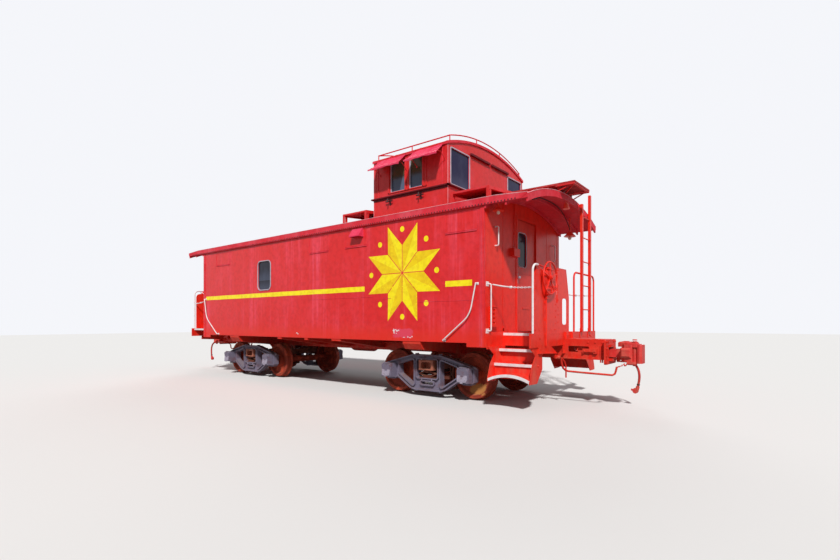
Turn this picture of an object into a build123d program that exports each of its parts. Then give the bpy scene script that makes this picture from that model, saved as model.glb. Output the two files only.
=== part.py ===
from build123d import *
import math
import os

# A cupola caboose at full size, in millimetres. X runs along the car and the front end is +X,
# Y runs across it, and Z is up. Z = 0 is the floor that the wheel flanges stand on.
# Heights are given above the rail head, and up() turns them into Z.

flange_height = 25
seat_gap = 0.3


def up(height):
    return flange_height + height


# Body shell
body_length = 9144
body_width = 2950
wall = 75
floor_top = 1203
floor_thickness = 60
body_bottom = floor_top - 160
skirt_length = 348
skirt_bottom = body_bottom - 66
skirt_sheet = 12
corner_post = 72
corner_post_proud = 10
x_end = body_length / 2
x_lining = x_end - wall
y_side = body_width / 2
y_lining = y_side - wall

# Roof: a shallow arch with an eave board along each side and a canopy over each platform
roof_thickness = 60
roof_eave = 3320
roof_rise = 315
roof_crown = roof_eave + roof_rise
roof_overhang = 36
roof_half_width = y_side + roof_overhang
canopy = 788
x_roof = x_end + canopy
eave_drop = 66
eave_board = 14
eave_cut = 150
rib_depth = 55
rib_width = 30
ribs_from_end = (12, 390, 758)

# Cupola, its ledge, curb and drip mouldings
cupola_front = 3756
cupola_length = 1806
cupola_rear = cupola_front - cupola_length
cupola_inset = 118
cupola_half_width = y_side - cupola_inset
cupola_wall = 60
cupola_eave = roof_eave + 1200
cupola_rise = 250
cupola_crown = cupola_eave + cupola_rise
cupola_roof_thickness = 45
cupola_overhang = 22
ledge_height = roof_eave + 452
ledge_depth = 20
ledge_reach = 16
curb_height = 46
curb_reach = 22
drip_drop = 64
drip_depth = 38
drip_half = 640

# Side windows: low and high corners of each opening
window_sill = 2164
window_head = 2835
window_radius = 95
window_left = -1890
window_right = -1377
frame_width = 36
frame_proud = 14
glass_thickness = 8

# Cupola windows
cupola_window_low = ledge_height + 28
cupola_window_high = cupola_eave - 100
cupola_window_width = 564
cupola_window_margin = 76
cupola_window_radius = 20
side_window_spans = ((-1362, -1000), (-889, -577))
side_window_raise = 40
side_window_lower = 20

# Doors
door_half_width = 365
door_top = roof_eave - 79
door_thickness = 45
door_setback = 18
door_gap = 10
door_stile = 60
door_glass_right = 10
door_glass_low = door_top - 841
door_glass_high = door_top - 227
door_glass_radius = 75
door_casing = 45
casing_proud = 12
hinge_radius = 11
knuckle_height = 60
wall_knuckle = 50
hinge_heights = (floor_top + 297, floor_top + 1047, door_top - 241)
handle_height = 2180

# Platform, end sill and stair well
deck_thickness = 40
sill_beyond_roof = 15
sill_face = x_roof + sill_beyond_roof
sill_thickness = 18
sill_inset = 40
sill_half_width = y_side - sill_inset
sill_bottom = floor_top - 214
sill_top = floor_top + 8
sill_return = 30
well_depth = 547
well_edge = sill_half_width - well_depth
patch_inset = 67
gusset_drop = 96
gusset_slope = 36
gusset_outer = 272
gusset_inner = 1000
shelf_reach = 70
rib_y = 135

# Steps: drop below the deck, and how far the nosing and the riser lie in from the outer edge
step_flight = ((257, 360, 575), (484, 200, 440), (722, 0, 238))
step_sheet = 10
nosing_height = 42
step_arch = 85
step_sheet_gap = 28
# Outline of a step sheet: distance in from the outer edge, and drop below the sill's foot
step_outline = ((5, 0), (34, 22), (200, 130), (80, 275), (-5, 515), (-5, 556),
                (250, 562), (440, 350), (438, 136), (595, 0))

# Underframe
centre_sill_half = 165
centre_sill_bottom = 760
centre_sill_web = 20
draft_reach = 725
draft_end = sill_face + draft_reach
draft_top_drop = 103
shank_pocket = 200
draft_gear_length = 300
draft_gear_half = 100
draft_flange = 25
# Slot in the draft sill's web, from the end sill's face: start, end, low and high edges
web_slot = (73, 440, 878, 978)
# Block on the web beside the slot: start, end, low and high edges, reach
draft_key = (345, 590, 862, 940, 45)
bolster_half = 210
bolster_outer_rise = 138
bolster_inner_rise = 0
truck_center = 3010
side_tab_drop = 45
# Cross members: place along the car and width
crossbearers = ((-1040, 150), (-50, 110), (945, 280))

# Trucks
wheelbase = 1829
wheel_diameter = 838
axle_height = wheel_diameter / 2
back_to_back = 1353
rim_width = 145
flange_width = 30
rim_depth = 69
web_thickness = 26
hub_radius = 135
hub_width = 178
axle_radius = 82
journal_radius = 66
journal_gap = 0.4
journal_y = 965
journal_length = 270
centre_plate_height = axle_height + 236
centre_plate_radius = 178
swivel_gap = 0.5

# Truck side frame: depth across the car, flange round its outline and its windows
frame_inner_y = 905
frame_depth = 130
frame_outer_y = frame_inner_y + frame_depth
flange_rib = 24
web_recess = 46
# Half outline above the axle line: distance from the truck's centre, height from the axle
chord = ((0, 352), (345, 352), (945, 196), (1075, 140))
lower_chord = ((1075, -90), (1000, -150), (830, -150), (742, -96), (432, -292), (305, -324), (0, -324))
end_window = ((322, -258), (690, -30), (705, 150), (322, 262))
bolster_window_half = 250
bolster_window_low = -82
bolster_window_high = 262
window_fillet = 32
# Slot under the spring's seat: half length, low and high edges, fillet
seat_slot = (150, -205, -150, 20)

# Journal boxes
box_half = 120
box_low = -120
box_high = 165
box_reach = 115
lid_slope = 34
lid_thickness = 14
lid_margin = 12

# Truck bolster, elliptic springs and brake beams
bolster_end_y = frame_outer_y + 22
bolster_low = 67
bolster_deep = 187
bolster_width = 350
bolster_dip = 46
# Open end of the bolster: margins at its sides, foot and top
bolster_mouth = (55, 20, 37)
leaf_count = 4
leaf_thickness = 9
leaf_width = 92
spring_half = 190
spring_seat = 8
brake_beam_height = axle_height - 60
shoe_gap = 8
shoe_thickness = 42
shoe_angle = 34
beam_radius = 30

# Grab irons, handrails and ladders
rail_radius = 17
grab_radius = 11
railing_x = sill_face - sill_thickness / 2
railing_plate = 6
railing_top = sill_top + 1084
ladder_gap = 8.5
ladder_x = sill_face + ladder_gap
ladder_stiles = (600, 1020)
ladder_rungs = (1622, 2069, 2519, 2969, 3360)
stile_width = 64
stile_depth = 44
corner_rail_inset = 80
far_post_y = 310
rail_bend = 110
corner_rail_end = -1180
link_rail_foot = railing_top - 65

# Running boards
walk_half_width = 358
walk_beyond_roof = 280
walk_rise = 121
walk_top = roof_crown + walk_rise
walk_thickness = 30
walk_boards = 5
board_gap = 10
cleat_width = 50
lateral_decks = ((1160, 672), (3881, 763))
lateral_reach = 1450
lateral_rise = 150

# Couplers
coupler_height = 876
shank_half = 68
head_back = 240
knuckle_reach = 490
knuckle_height_half = 148
crown_height = 190
striker_thickness = 32
striker_half = 270
striker_low = 690
striker_high = 1096

# Hand brake
brake_wheel_y = -889
brake_wheel_height = 2090
brake_wheel_radius = 270
brake_rim_radius = 14
brake_rod_radius = 14
brake_rod_offset = 36
brake_tail_drop = 330
brake_hub_half = 30
brake_housing_radius = 150
brake_housing_depth = 45
brake_spokes = 5


def rounded(points, radius=0):
    face = make_face(Polyline(*points, close=True))
    if radius:
        face = fillet(face.vertices(), radius)
    return face


def slab(x0, x1, y0, y1, z0, z1):
    centre = ((x0 + x1) / 2, (y0 + y1) / 2, (z0 + z1) / 2)
    return Pos(*centre) * Box(abs(x1 - x0), abs(y1 - y0), abs(z1 - z0))


def across(face, y0, y1):
    """Profile drawn in X and Z, run from y0 up to y1."""
    return extrude(Plane.XZ.offset(-y1) * face, amount=y1 - y0)


def along(face, x0, x1):
    """Profile drawn in Y and Z, run from x0 up to x1."""
    return extrude(Plane.YZ.offset(x0) * face, amount=x1 - x0)


def upward(face, z0, z1):
    """Profile drawn in X and Y, run from z0 up to z1."""
    return extrude(Plane.XY.offset(z0) * face, amount=z1 - z0)


def panel(a0, a1, b0, b1, radius=0):
    return rounded([(a0, b0), (a1, b0), (a1, b1), (a0, b1)], radius)


def bar(path, radius):
    """Round bar along a path."""
    start = Plane(origin=path @ 0, z_dir=path % 0)
    return sweep(start * Circle(radius), path=path)


def rod(points, radius, bend=60):
    """Round bar along points, with an arc of radius bend at each corner."""
    if len(points) > 2:
        return bar(FilletPolyline(*points, radius=bend), radius)
    return bar(Line(*points), radius)


def arch_radius(half_width, rise):
    return (half_width ** 2 + rise ** 2) / (2 * rise)


roof_radius = arch_radius(roof_half_width, roof_rise)
roof_axis = roof_crown - roof_radius
cupola_radius = arch_radius(cupola_half_width, cupola_rise)
cupola_axis = cupola_crown - cupola_radius


def roof_height(y, drop=0):
    """Height of the roof's outer face at y, or of a face drop below it."""
    return roof_axis + math.sqrt((roof_radius - drop) ** 2 - y ** 2)


def cupola_height(y, drop=0):
    return cupola_axis + math.sqrt((cupola_radius - drop) ** 2 - y ** 2)


def arc_over(half_width, height, drop):
    """Arc across the car, from the far side over the crown to the near side."""
    ends = [(y, up(height(abs(y), drop))) for y in (half_width, 0, -half_width)]
    return ThreePointArc(*ends), ends[0], ends[-1]


def arch_band(half_width, height, thickness, drop=0):
    """Curved band across the car between y = -half_width and half_width."""
    top, top_far, top_near = arc_over(half_width, height, drop)
    low, low_far, low_near = arc_over(half_width, height, drop + thickness)
    return make_face(top + Line(top_near, low_near) + low + Line(low_far, top_far))


def under_arch(half_width, low, height, drop):
    """Wall across the car from a level foot up to a face under an arch."""
    top, top_far, top_near = arc_over(half_width, height, drop)
    foot_near, foot_far = (-half_width, up(low)), (half_width, up(low))
    return make_face(top + Line(top_near, foot_near) + Line(foot_near, foot_far) + Line(foot_far, top_far))


def between_arches(half_width, low_height, low_drop, high_height, high_drop):
    """Wall across the car from one arch up to another."""
    top, top_far, top_near = arc_over(half_width, high_height, high_drop)
    low, low_far, low_near = arc_over(half_width, low_height, low_drop)
    return make_face(top + Line(top_near, low_near) + low + Line(low_far, top_far))


def rear_copy(shape):
    return mirror(shape, about=Plane.YZ)


def far_copy(shape):
    return mirror(shape, about=Plane.XZ)


def turned_copy(shape):
    return Rot(0, 0, 180) * shape


parts = {}


def add(name, *solids):
    """Name a node and keep its solids."""
    parts[name] = solids[0] if len(solids) == 1 else Compound(children=list(solids))


# Underframe, seen from below

underfloor = floor_top - floor_thickness


def tapered_beam(x, half, outer_bottom, inner_bottom):
    """Cross member whose underside rises from the centre sill to a foot under the side wall."""
    shoulder = centre_sill_half + 120
    inside = y_lining - seat_gap
    foot_top = body_bottom - seat_gap
    foot = body_bottom - side_tab_drop
    outer = y_side - skirt_sheet - seat_gap
    near_half = [(0, up(inner_bottom)), (-shoulder, up(inner_bottom)), (-inside, up(min(outer_bottom, foot))),
                 (-outer, up(foot)), (-outer, up(foot_top)), (-inside, up(foot_top)),
                 (-inside, up(underfloor)), (0, up(underfloor))]
    beam = along(rounded(near_half), x - half, x + half)
    return beam + far_copy(beam)


def draft_ribs(side):
    """Upright ribs on the draft sill's web, behind the striker."""
    made = []
    for step in range(3):
        x = draft_end - 22 - 32 * step
        made.append(Pos(x, side * centre_sill_half, up(855)) * Cylinder(12, 280))
    return made


def draft_side(side):
    """Flange at the foot of the draft sill and the block on its web."""
    low = up(centre_sill_bottom)
    start, end, key_low, key_high, reach = draft_key
    y0, y1 = sorted((side * (centre_sill_half - 1), side * (centre_sill_half + draft_flange)))
    flange = slab(sill_face + 2, draft_end, y0, y1, low, low + 14)
    y0, y1 = sorted((side * (centre_sill_half - 1), side * (centre_sill_half + reach)))
    key = slab(sill_face + start, sill_face + end, y0, y1, up(key_low), up(key_high))
    key -= slab(sill_face + start + 20, sill_face + end - 60, y0, y1, up(key_low) - 1, up(key_low) + 22)
    return [flange, key]


def underframe():
    top = up(underfloor)
    low = up(centre_sill_bottom)
    inner = centre_sill_half - centre_sill_web
    draft_top = up(floor_top - draft_top_drop)
    frame = slab(-sill_face, sill_face, -centre_sill_half, centre_sill_half, low, top)
    frame += slab(-draft_end, draft_end, -centre_sill_half, centre_sill_half, low, draft_top)
    frame -= slab(-draft_end - 1, draft_end + 1, -inner, inner, low - 1, draft_top - centre_sill_web)
    frame -= slab(-sill_face + 40, sill_face - 40, -inner, inner, low - 1, top - centre_sill_web)
    slot_start, slot_end, slot_low, slot_high = web_slot
    slot = panel(sill_face + slot_start, sill_face + slot_end, up(slot_low), up(slot_high), 20)
    window = across(slot, -centre_sill_half - 10, centre_sill_half + 10)
    frame -= window
    frame -= rear_copy(window)
    for x, width in crossbearers:
        frame += tapered_beam(x, width / 2, body_bottom - 20, centre_sill_bottom + 60)
    for x in (truck_center, -truck_center):
        frame += tapered_beam(x, bolster_half, centre_sill_bottom + bolster_outer_rise,
                              centre_sill_bottom + bolster_inner_rise)
        plate_low = up(centre_plate_height + swivel_gap)
        frame += Pos(x, 0, (plate_low + top) / 2) * Cylinder(centre_plate_radius, top - plate_low)
    pocket_end = draft_end - shank_pocket - seat_gap
    draft_gear = slab(pocket_end - draft_gear_length, pocket_end, -draft_gear_half, draft_gear_half,
                      low, draft_top)
    frame += draft_gear
    frame += turned_copy(draft_gear)
    for x0, x1 in ((x_lining, x_end), (-x_end, -x_lining)):
        frame += slab(x0, x1, -y_lining + seat_gap, y_lining - seat_gap, up(body_bottom), top)
    for side in (-1, 1):
        for piece in draft_ribs(side) + draft_side(side):
            frame += piece
            frame += turned_copy(piece)
    return frame


add("underframe", underframe())
add("floor", slab(-x_lining + seat_gap, x_lining - seat_gap, -y_lining + seat_gap, y_lining - seat_gap,
                  up(underfloor), up(floor_top)))


# Side walls

def side_wall():
    """Near side wall, with its deeper ends, corner posts and window opening."""
    under_roof = roof_thickness + seat_gap
    outer = [(-y_side, up(body_bottom)), (-y_lining, up(body_bottom)),
             (-y_lining, up(roof_height(y_lining, under_roof)) - 1),
             (-y_side, up(roof_height(y_side, under_roof)))]
    shell = along(rounded(outer), -x_end, x_end)
    for x in (-x_end, x_end - skirt_length):
        shell += slab(x, x + skirt_length, -y_side, -y_side + skirt_sheet, up(skirt_bottom), up(body_bottom))
    for x in (-x_end, x_end - corner_post):
        shell += slab(x, x + corner_post, -y_side - corner_post_proud, -y_side,
                      up(skirt_bottom), up(roof_eave - eave_drop))
    hole = panel(window_left, window_right, up(window_sill), up(window_head), window_radius)
    return shell - across(hole, -y_side - wall, -y_lining + wall)


add("side_wall_near", side_wall())
add("side_wall_far", far_copy(side_wall()))


# End walls and doors

hinge_x = x_lining - hinge_radius - 1
hinge_y = door_half_width + door_gap / 2


def barrels(low, high):
    """Hinge barrels on the door's axis at each hinge height."""
    return [Pos(hinge_x, hinge_y, up(height + (low + high) / 2)) * Cylinder(hinge_radius, high - low)
            for height in hinge_heights]


def switch_box():
    """Small box on the end wall, fed by a conduit from the roof."""
    box_low, box_high = door_glass_low + 142, door_glass_low + 283
    box = slab(x_end - 1, x_end + 70, -619, -322 - 75, up(box_low), up(box_high))
    conduit_top = up(roof_height(502 + grab_radius, roof_thickness + rib_depth)) - seat_gap
    height = conduit_top - up(box_high) + 5
    conduit = Pos(x_end + 20, -502, conduit_top - height / 2) * Cylinder(grab_radius, height)
    clip = slab(x_end - 1, x_end + 20, -510, -494, up(box_high + 250), up(box_high + 280))
    return box + conduit + clip


def slotted_box():
    """Locker low on the end wall, with four slots in its face."""
    low, high = floor_top + 103, floor_top + 434
    box = slab(x_end - 1, x_end + 60, -1330, -1177, up(low), up(high))
    for row in range(4):
        z = up(low + 50 + 70 * row)
        box -= slab(x_end + 40, x_end + 61, -1310, -1240, z, z + 34)
    return box


def end_wall():
    inside = y_lining - seat_gap
    shell = along(under_arch(inside, underfloor, roof_height, roof_thickness + seat_gap), x_lining, x_end)
    casing_side = door_half_width + door_gap
    casing = slab(x_end - 1, x_end + casing_proud, -casing_side - door_casing, casing_side + door_casing,
                  up(floor_top) + seat_gap, up(door_top + door_gap + door_casing))
    shell += casing
    shell -= slab(x_lining - 1, x_end + casing_proud + 1, -casing_side, casing_side,
                  up(floor_top), up(door_top + door_gap))
    wall_low, wall_high = knuckle_height + seat_gap, knuckle_height + wall_knuckle
    for barrel, height in zip(barrels(wall_low, wall_high), hinge_heights):
        shell += barrel
        shell += slab(x_lining - 6, x_lining, hinge_y, casing_side + 70, up(height + wall_low),
                      up(height + wall_high))
    return shell + switch_box() + slotted_box()


add("end_wall_front", end_wall())
add("end_wall_rear", rear_copy(end_wall()))


def door():
    """Door leaf set back in the wall, hinged on the far side and opening inward."""
    x_face = x_end - door_setback
    x_back = x_face - door_thickness
    leaf = slab(x_back, x_face, -door_half_width, door_half_width, up(floor_top + door_gap), up(door_top))
    pane = panel(-door_half_width + door_stile, door_glass_right, up(door_glass_low), up(door_glass_high),
                 door_glass_radius)
    leaf -= along(pane, x_back - 1, x_face + 1)
    sunk = panel(-door_half_width + door_stile, door_half_width - door_stile, up(floor_top + 130),
                 up(door_glass_low - 130), 20)
    leaf -= along(sunk, x_face - 6, x_face + 1)
    for barrel, height in zip(barrels(0, knuckle_height), hinge_heights):
        z0, z1 = up(height), up(height + knuckle_height)
        leaf += barrel
        leaf += slab(hinge_x, x_back, hinge_y - hinge_radius, hinge_y - 3, z0, z1)
        leaf += slab(x_back - 6, x_back, hinge_y - 90, hinge_y - 3, z0, z1)
    handle_y = -door_half_width + door_stile / 2
    handle_z = up(handle_height)
    leaf += slab(x_back - 60, x_back, handle_y, handle_y + 25, handle_z, handle_z + 25)
    leaf += slab(x_back - 60, x_back - 40, handle_y, handle_y + 120, handle_z, handle_z + 25)
    return leaf


def door_pane():
    x_mid = x_end - door_setback - door_thickness / 2
    pane = panel(-door_half_width + door_stile + seat_gap, door_glass_right - seat_gap,
                 up(door_glass_low) + seat_gap, up(door_glass_high) - seat_gap, door_glass_radius)
    return along(pane, x_mid - glass_thickness / 2, x_mid + glass_thickness / 2)


add("door_front", door())
add("door_rear", rear_copy(door()))
add("door_glass_front", door_pane())
add("door_glass_rear", rear_copy(door_pane()))


# Roof with its eave boards and canopy ribs

def eave():
    """Board along the near edge of the roof, with its lower corners cut off at the ends."""
    low = up(roof_eave - eave_drop)
    top = up(roof_eave) - 2
    outline = [(-x_roof, top), (-x_roof, up(roof_eave - eave_drop / 3)), (-x_roof + eave_cut, low),
               (x_roof - eave_cut, low), (x_roof, up(roof_eave - eave_drop / 3)), (x_roof, top)]
    return across(rounded(outline), -roof_half_width, -roof_half_width + eave_board)


def roof():
    shell = along(arch_band(roof_half_width, roof_height, roof_thickness), -x_roof, x_roof)
    inner_y = cupola_half_width - cupola_wall
    shell -= slab(cupola_rear + cupola_wall, cupola_front - cupola_wall, -inner_y, inner_y,
                  up(roof_eave - roof_rise), up(roof_crown + roof_rise))
    shell += eave()
    shell += far_copy(eave())
    for offset in ribs_from_end:
        x = x_end + offset
        rib = along(arch_band(roof_half_width - eave_board, roof_height, rib_depth, roof_thickness),
                    x, x + rib_width)
        shell += rib
        shell += rear_copy(rib)
    return shell


add("roof", roof())


# Cupola

window_outer = cupola_half_width - cupola_window_margin
window_inner = window_outer - cupola_window_width
front_windows = ((-window_outer, -window_inner), (window_inner, window_outer))
side_windows = [(cupola_front + low, cupola_front + high) for low, high in side_window_spans]
side_window_low = cupola_window_low + side_window_raise
side_window_high = cupola_window_high - side_window_lower


def cupola_end():
    """Front wall of the cupola with its two windows, curb, ledge and drip mouldings."""
    inside = cupola_half_width - cupola_wall - seat_gap
    x_back = cupola_front - cupola_wall
    shell = along(between_arches(inside, roof_height, -seat_gap, cupola_height,
                                 cupola_roof_thickness + seat_gap), x_back, cupola_front)
    curb = between_arches(inside, roof_height, -seat_gap, roof_height, -curb_height)
    shell += along(curb, cupola_front - 1, cupola_front + curb_reach)
    shell += slab(cupola_front - 1, cupola_front + ledge_reach, -inside, inside,
                  up(ledge_height - ledge_depth), up(ledge_height))
    drip_top = up(cupola_eave - drip_drop + drip_depth)
    for side in (-1, 1):
        ends = sorted((side * 40, side * drip_half))
        shell += slab(cupola_front - 1, cupola_front + ledge_reach, *ends, drip_top - drip_depth, drip_top)
    for y0, y1 in front_windows:
        hole = panel(y0, y1, up(cupola_window_low), up(cupola_window_high), cupola_window_radius)
        shell -= along(hole, x_back - 1, cupola_front + ledge_reach + 1)
    return shell


def cupola_side():
    """Near wall of the cupola, with its curb, ledge and two windows."""
    outer = -cupola_half_width
    inner = outer + cupola_wall
    under_roof = cupola_roof_thickness + seat_gap
    profile = [(outer, up(roof_height(-outer)) + seat_gap), (inner, up(roof_height(-inner)) + seat_gap),
               (inner, up(cupola_height(-inner, under_roof)) - 1),
               (outer, up(cupola_height(-outer, under_roof)) - 1)]
    shell = along(rounded(profile), cupola_rear, cupola_front)
    shell += slab(cupola_rear, cupola_front, outer - ledge_reach, outer + 1,
                  up(ledge_height - ledge_depth), up(ledge_height))
    curb_low = up(roof_height(-outer - 1)) + seat_gap
    shell += slab(cupola_rear, cupola_front, outer - curb_reach, outer + 1, curb_low, curb_low + curb_height)
    for x0, x1 in side_windows:
        hole = panel(x0, x1, up(side_window_low), up(side_window_high), cupola_window_radius)
        shell -= across(hole, outer - cupola_wall, inner + cupola_wall)
    return shell


cupola_middle = (cupola_front + cupola_rear) / 2
cupola_mirror = Plane.YZ.offset(cupola_middle)
add("cupola_front_wall", cupola_end())
add("cupola_rear_wall", mirror(cupola_end(), about=cupola_mirror))
add("cupola_side_near", cupola_side())
add("cupola_side_far", far_copy(cupola_side()))
add("cupola_roof", along(arch_band(cupola_half_width + cupola_overhang, cupola_height,
                                   cupola_roof_thickness),
                         cupola_rear - cupola_overhang, cupola_front + cupola_overhang))


# Shades over the cupola's side windows, hung under the roof's edge
# Each span runs back from the cupola's front: start and end
shade_spans = ((-1678, -910), (-777, 21))
shade_drop = 65
shade_reach = 293
shade_fall = 198
shade_sheet = 6
shade_hem = 30


def shade(x0, x1):
    y0, z0 = -cupola_half_width - seat_gap, up(cupola_eave - shade_drop)
    y1, z1 = y0 - shade_reach, z0 - shade_fall
    profile = [(y0, z0), (y1, z1), (y1, z1 - shade_hem), (y1 + shade_sheet, z1 - shade_hem),
               (y1 + shade_sheet, z1 - shade_sheet), (y0, z0 - shade_sheet)]
    return along(rounded(profile), cupola_front + x0, cupola_front + x1)


shades = [shade(*span) for span in shade_spans]
add("cupola_shades", *shades, *[far_copy(piece) for piece in shades])


# Window frames and glass

def ring(a0, a1, b0, b1, radius):
    """Flat frame round an opening."""
    outside = panel(a0 - frame_width, a1 + frame_width, b0 - frame_width, b1 + frame_width,
                    radius + frame_width)
    return outside - panel(a0, a1, b0, b1, radius)


def window_frames():
    side = across(ring(window_left, window_right, up(window_sill), up(window_head), window_radius),
                  -y_side - frame_proud, -y_side)
    made = [side, far_copy(side)]
    for y0, y1 in front_windows:
        face = ring(y0, y1, up(cupola_window_low), up(cupola_window_high), cupola_window_radius)
        piece = along(face, cupola_front, cupola_front + frame_proud)
        piece -= slab(cupola_front - 1, cupola_front + ledge_reach + seat_gap, -cupola_half_width,
                      cupola_half_width, 0, up(ledge_height) + seat_gap)
        made += [piece, mirror(piece, about=cupola_mirror)]
    return made


def pane_face(a0, a1, b0, b1, radius):
    return panel(a0 + seat_gap, a1 - seat_gap, b0 + seat_gap, b1 - seat_gap, radius)


def panes():
    hole = pane_face(window_left, window_right, up(window_sill), up(window_head), window_radius)
    pane_y = -y_side + wall / 6
    pane = across(hole, pane_y, pane_y + glass_thickness)
    made = [pane, far_copy(pane)]
    for y0, y1 in front_windows:
        hole = pane_face(y0, y1, up(cupola_window_low), up(cupola_window_high), cupola_window_radius)
        pane_x = cupola_front - cupola_wall / 3
        pane = along(hole, pane_x, pane_x + glass_thickness)
        made += [pane, mirror(pane, about=cupola_mirror)]
    for x0, x1 in side_windows:
        hole = pane_face(x0, x1, up(side_window_low), up(side_window_high), cupola_window_radius)
        pane_y = -cupola_half_width + cupola_wall / 2
        pane = across(hole, pane_y, pane_y + glass_thickness)
        made += [pane, far_copy(pane)]
    return made


add("window_frames", *window_frames())
add("window_glass", *panes())


# Vent hoods on the sides
vent_left = 1490
vent_width = 288
vent_high = roof_eave - 49
vent_height = 215
vent_reach = 120
vent_lip = 20
vent_sheet = 8


def vent_hood():
    y = -y_side - seat_gap
    vent_low = vent_high - vent_height
    vent_right = vent_left + vent_width
    profile = [(y, up(vent_low)), (y, up(vent_high - 40)), (y - 30, up(vent_high - 50)),
               (y - vent_reach, up(vent_low + vent_lip)), (y - vent_reach, up(vent_low))]
    hood = along(rounded(profile), vent_left, vent_right)
    front = y - vent_reach + vent_sheet
    hollow = [(y + 1, up(vent_low) - 1), (y + 1, up(vent_high - 60)), (y - 26, up(vent_high - 68)),
              (front, up(vent_low + vent_lip - 4)), (front, up(vent_low) - 1)]
    return hood - along(rounded(hollow), vent_left + vent_sheet, vent_right - vent_sheet)


add("vent_hoods", vent_hood(), far_copy(vent_hood()))


# Platforms, end sills and steps

deck_front = sill_face - sill_thickness


def end_sill():
    """Plate across the car's end with its returned ends, gussets and ribs."""
    x0 = deck_front
    sill = slab(x0, sill_face, -sill_half_width, sill_half_width, up(sill_bottom), up(sill_top))
    gusset = [(-sill_half_width + gusset_outer, up(sill_bottom) + 5),
              (-sill_half_width + gusset_outer, up(sill_bottom - gusset_drop)),
              (-sill_half_width + gusset_inner, up(sill_bottom - gusset_drop - gusset_slope)),
              (-sill_half_width + gusset_inner - 270, up(sill_bottom) + 5)]
    shelf = [(sill_half_width - gusset_outer, up(sill_bottom - gusset_drop)),
             (sill_half_width - gusset_outer, up(sill_bottom - gusset_drop) + sill_thickness / 2),
             (centre_sill_half + 4, up(sill_bottom - gusset_drop - 46) + sill_thickness / 2),
             (centre_sill_half + 4, up(sill_bottom - gusset_drop - 46))]
    brace = slab(x0, sill_face, -centre_sill_half - 30, -centre_sill_half - 4,
                 up(sill_bottom - gusset_drop - 46), up(sill_bottom) + 5)
    for piece in (along(rounded(gusset), x0, sill_face), brace,
                  far_copy(along(rounded(shelf), x0, sill_face + shelf_reach / 3))):
        sill += piece
        sill += far_copy(piece)
    for side in (-1, 1):
        edge = side * (sill_half_width - sill_thickness)
        y0, y1 = sorted((edge, side * sill_half_width))
        sill += slab(sill_face - sill_return, sill_face, y0, y1, up(sill_bottom), up(sill_top))
        rib0, rib1 = sorted((side * rib_y, side * (rib_y + 14)))
        sill += slab(sill_face - 1, sill_face + 40, rib0, rib1, up(floor_top - draft_top_drop) + seat_gap,
                     up(sill_top))
    mouth = centre_sill_half + 4
    sill -= slab(x0 - 60, sill_face + seat_gap, -mouth, mouth, up(centre_sill_bottom), up(underfloor) + 4)
    return sill


def platform(patched):
    """Deck, its side panels under the edges and the end sill. patched covers the near stair well."""
    deck_low = up(floor_top - deck_thickness)
    near_edge = sill_half_width - patch_inset if patched else well_edge
    x0, x1 = x_end + seat_gap, deck_front
    deck = slab(x0, x1, -near_edge, well_edge, deck_low, up(floor_top))
    for y in (-well_edge, well_edge - sill_thickness):
        deck += slab(x0, x1, y, y + sill_thickness, up(sill_bottom), deck_low)
        middle = (x0 + x1) / 2
        edge = y if y < 0 else y + sill_thickness
        deck += slab(middle - 8, middle + 8, edge - 8, edge + 8, up(sill_bottom), deck_low)
    for side in (-1, 1):
        y0, y1 = sorted((side * well_edge, side * (y_side - skirt_sheet - seat_gap)))
        deck += slab(x0, x0 + step_sheet, y0, y1, up(skirt_bottom), up(floor_top))
    return deck + end_sill()


def step_side(x):
    """Sheet at one end of the flight, cut to follow the treads."""
    points = [(-sill_half_width + inset, up(sill_bottom - drop) - seat_gap) for inset, drop in step_outline]
    return along(rounded(points), x, x + step_sheet)


def arched_tread(x0, x1, y0, y1, top):
    """Bottom tread, bowed upward between its ends."""
    low = top - step_sheet
    middle = (x0 + x1) / 2
    upper = ThreePointArc((x0, top), (middle, top + step_arch), (x1, top))
    lower = ThreePointArc((x1, low), (middle, low + step_arch), (x0, low))
    plate = make_face(upper + Line((x1, top), (x1, low)) + lower + Line((x0, low), (x0, top)))
    drop = nosing_height - step_sheet
    edge = ThreePointArc((x1, low - drop), (middle, low - drop + step_arch), (x0, low - drop))
    nosing = make_face(upper + Line((x1, top), (x1, low - drop)) + edge + Line((x0, low - drop), (x0, top)))
    return across(plate, y0, y1) + across(nosing, y0, y0 + step_sheet)


def steps():
    """Near side flight at the front end: three treads and two risers between two sheets."""
    x0 = x_end + step_sheet_gap
    x1 = deck_front - seat_gap - step_sheet
    flight = step_side(x0) + step_side(x1)
    flight += slab(x_end + step_sheet + 2 * seat_gap, x0 + 1, -sill_half_width + 5, -well_edge - 5,
                   up(sill_bottom - 40), up(sill_bottom) - seat_gap)
    heights = [floor_top - drop for drop, nosing, back in step_flight]
    for index, (drop, nosing, back) in enumerate(step_flight):
        top = up(floor_top - drop)
        y0, y1 = -sill_half_width + nosing, -sill_half_width + back
        if index == len(step_flight) - 1:
            flight += arched_tread(x0, x1 + step_sheet, y0, y1, top)
        else:
            flight += slab(x0, x1 + step_sheet, y0, y1, top - step_sheet, top)
            flight += slab(x0, x1 + step_sheet, y0, y0 + step_sheet, top - nosing_height, top)
        if index:
            flight += slab(x0, x1 + step_sheet, y1 - step_sheet, y1, top - step_sheet, up(heights[index - 1]))
    return flight


add("platform_front", platform(False))
add("platform_rear", rear_copy(platform(True)))
add("steps_front", steps(), far_copy(steps()))
add("steps_rear", far_copy(rear_copy(steps())))


# End railings, hand brakes, ladders and handrails

railing_low = up(sill_top)
plate_a = (-1307, -475)
plate_b = (-433, 56)
plate_slot = (-240, -40, 1337, 1800)


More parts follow.
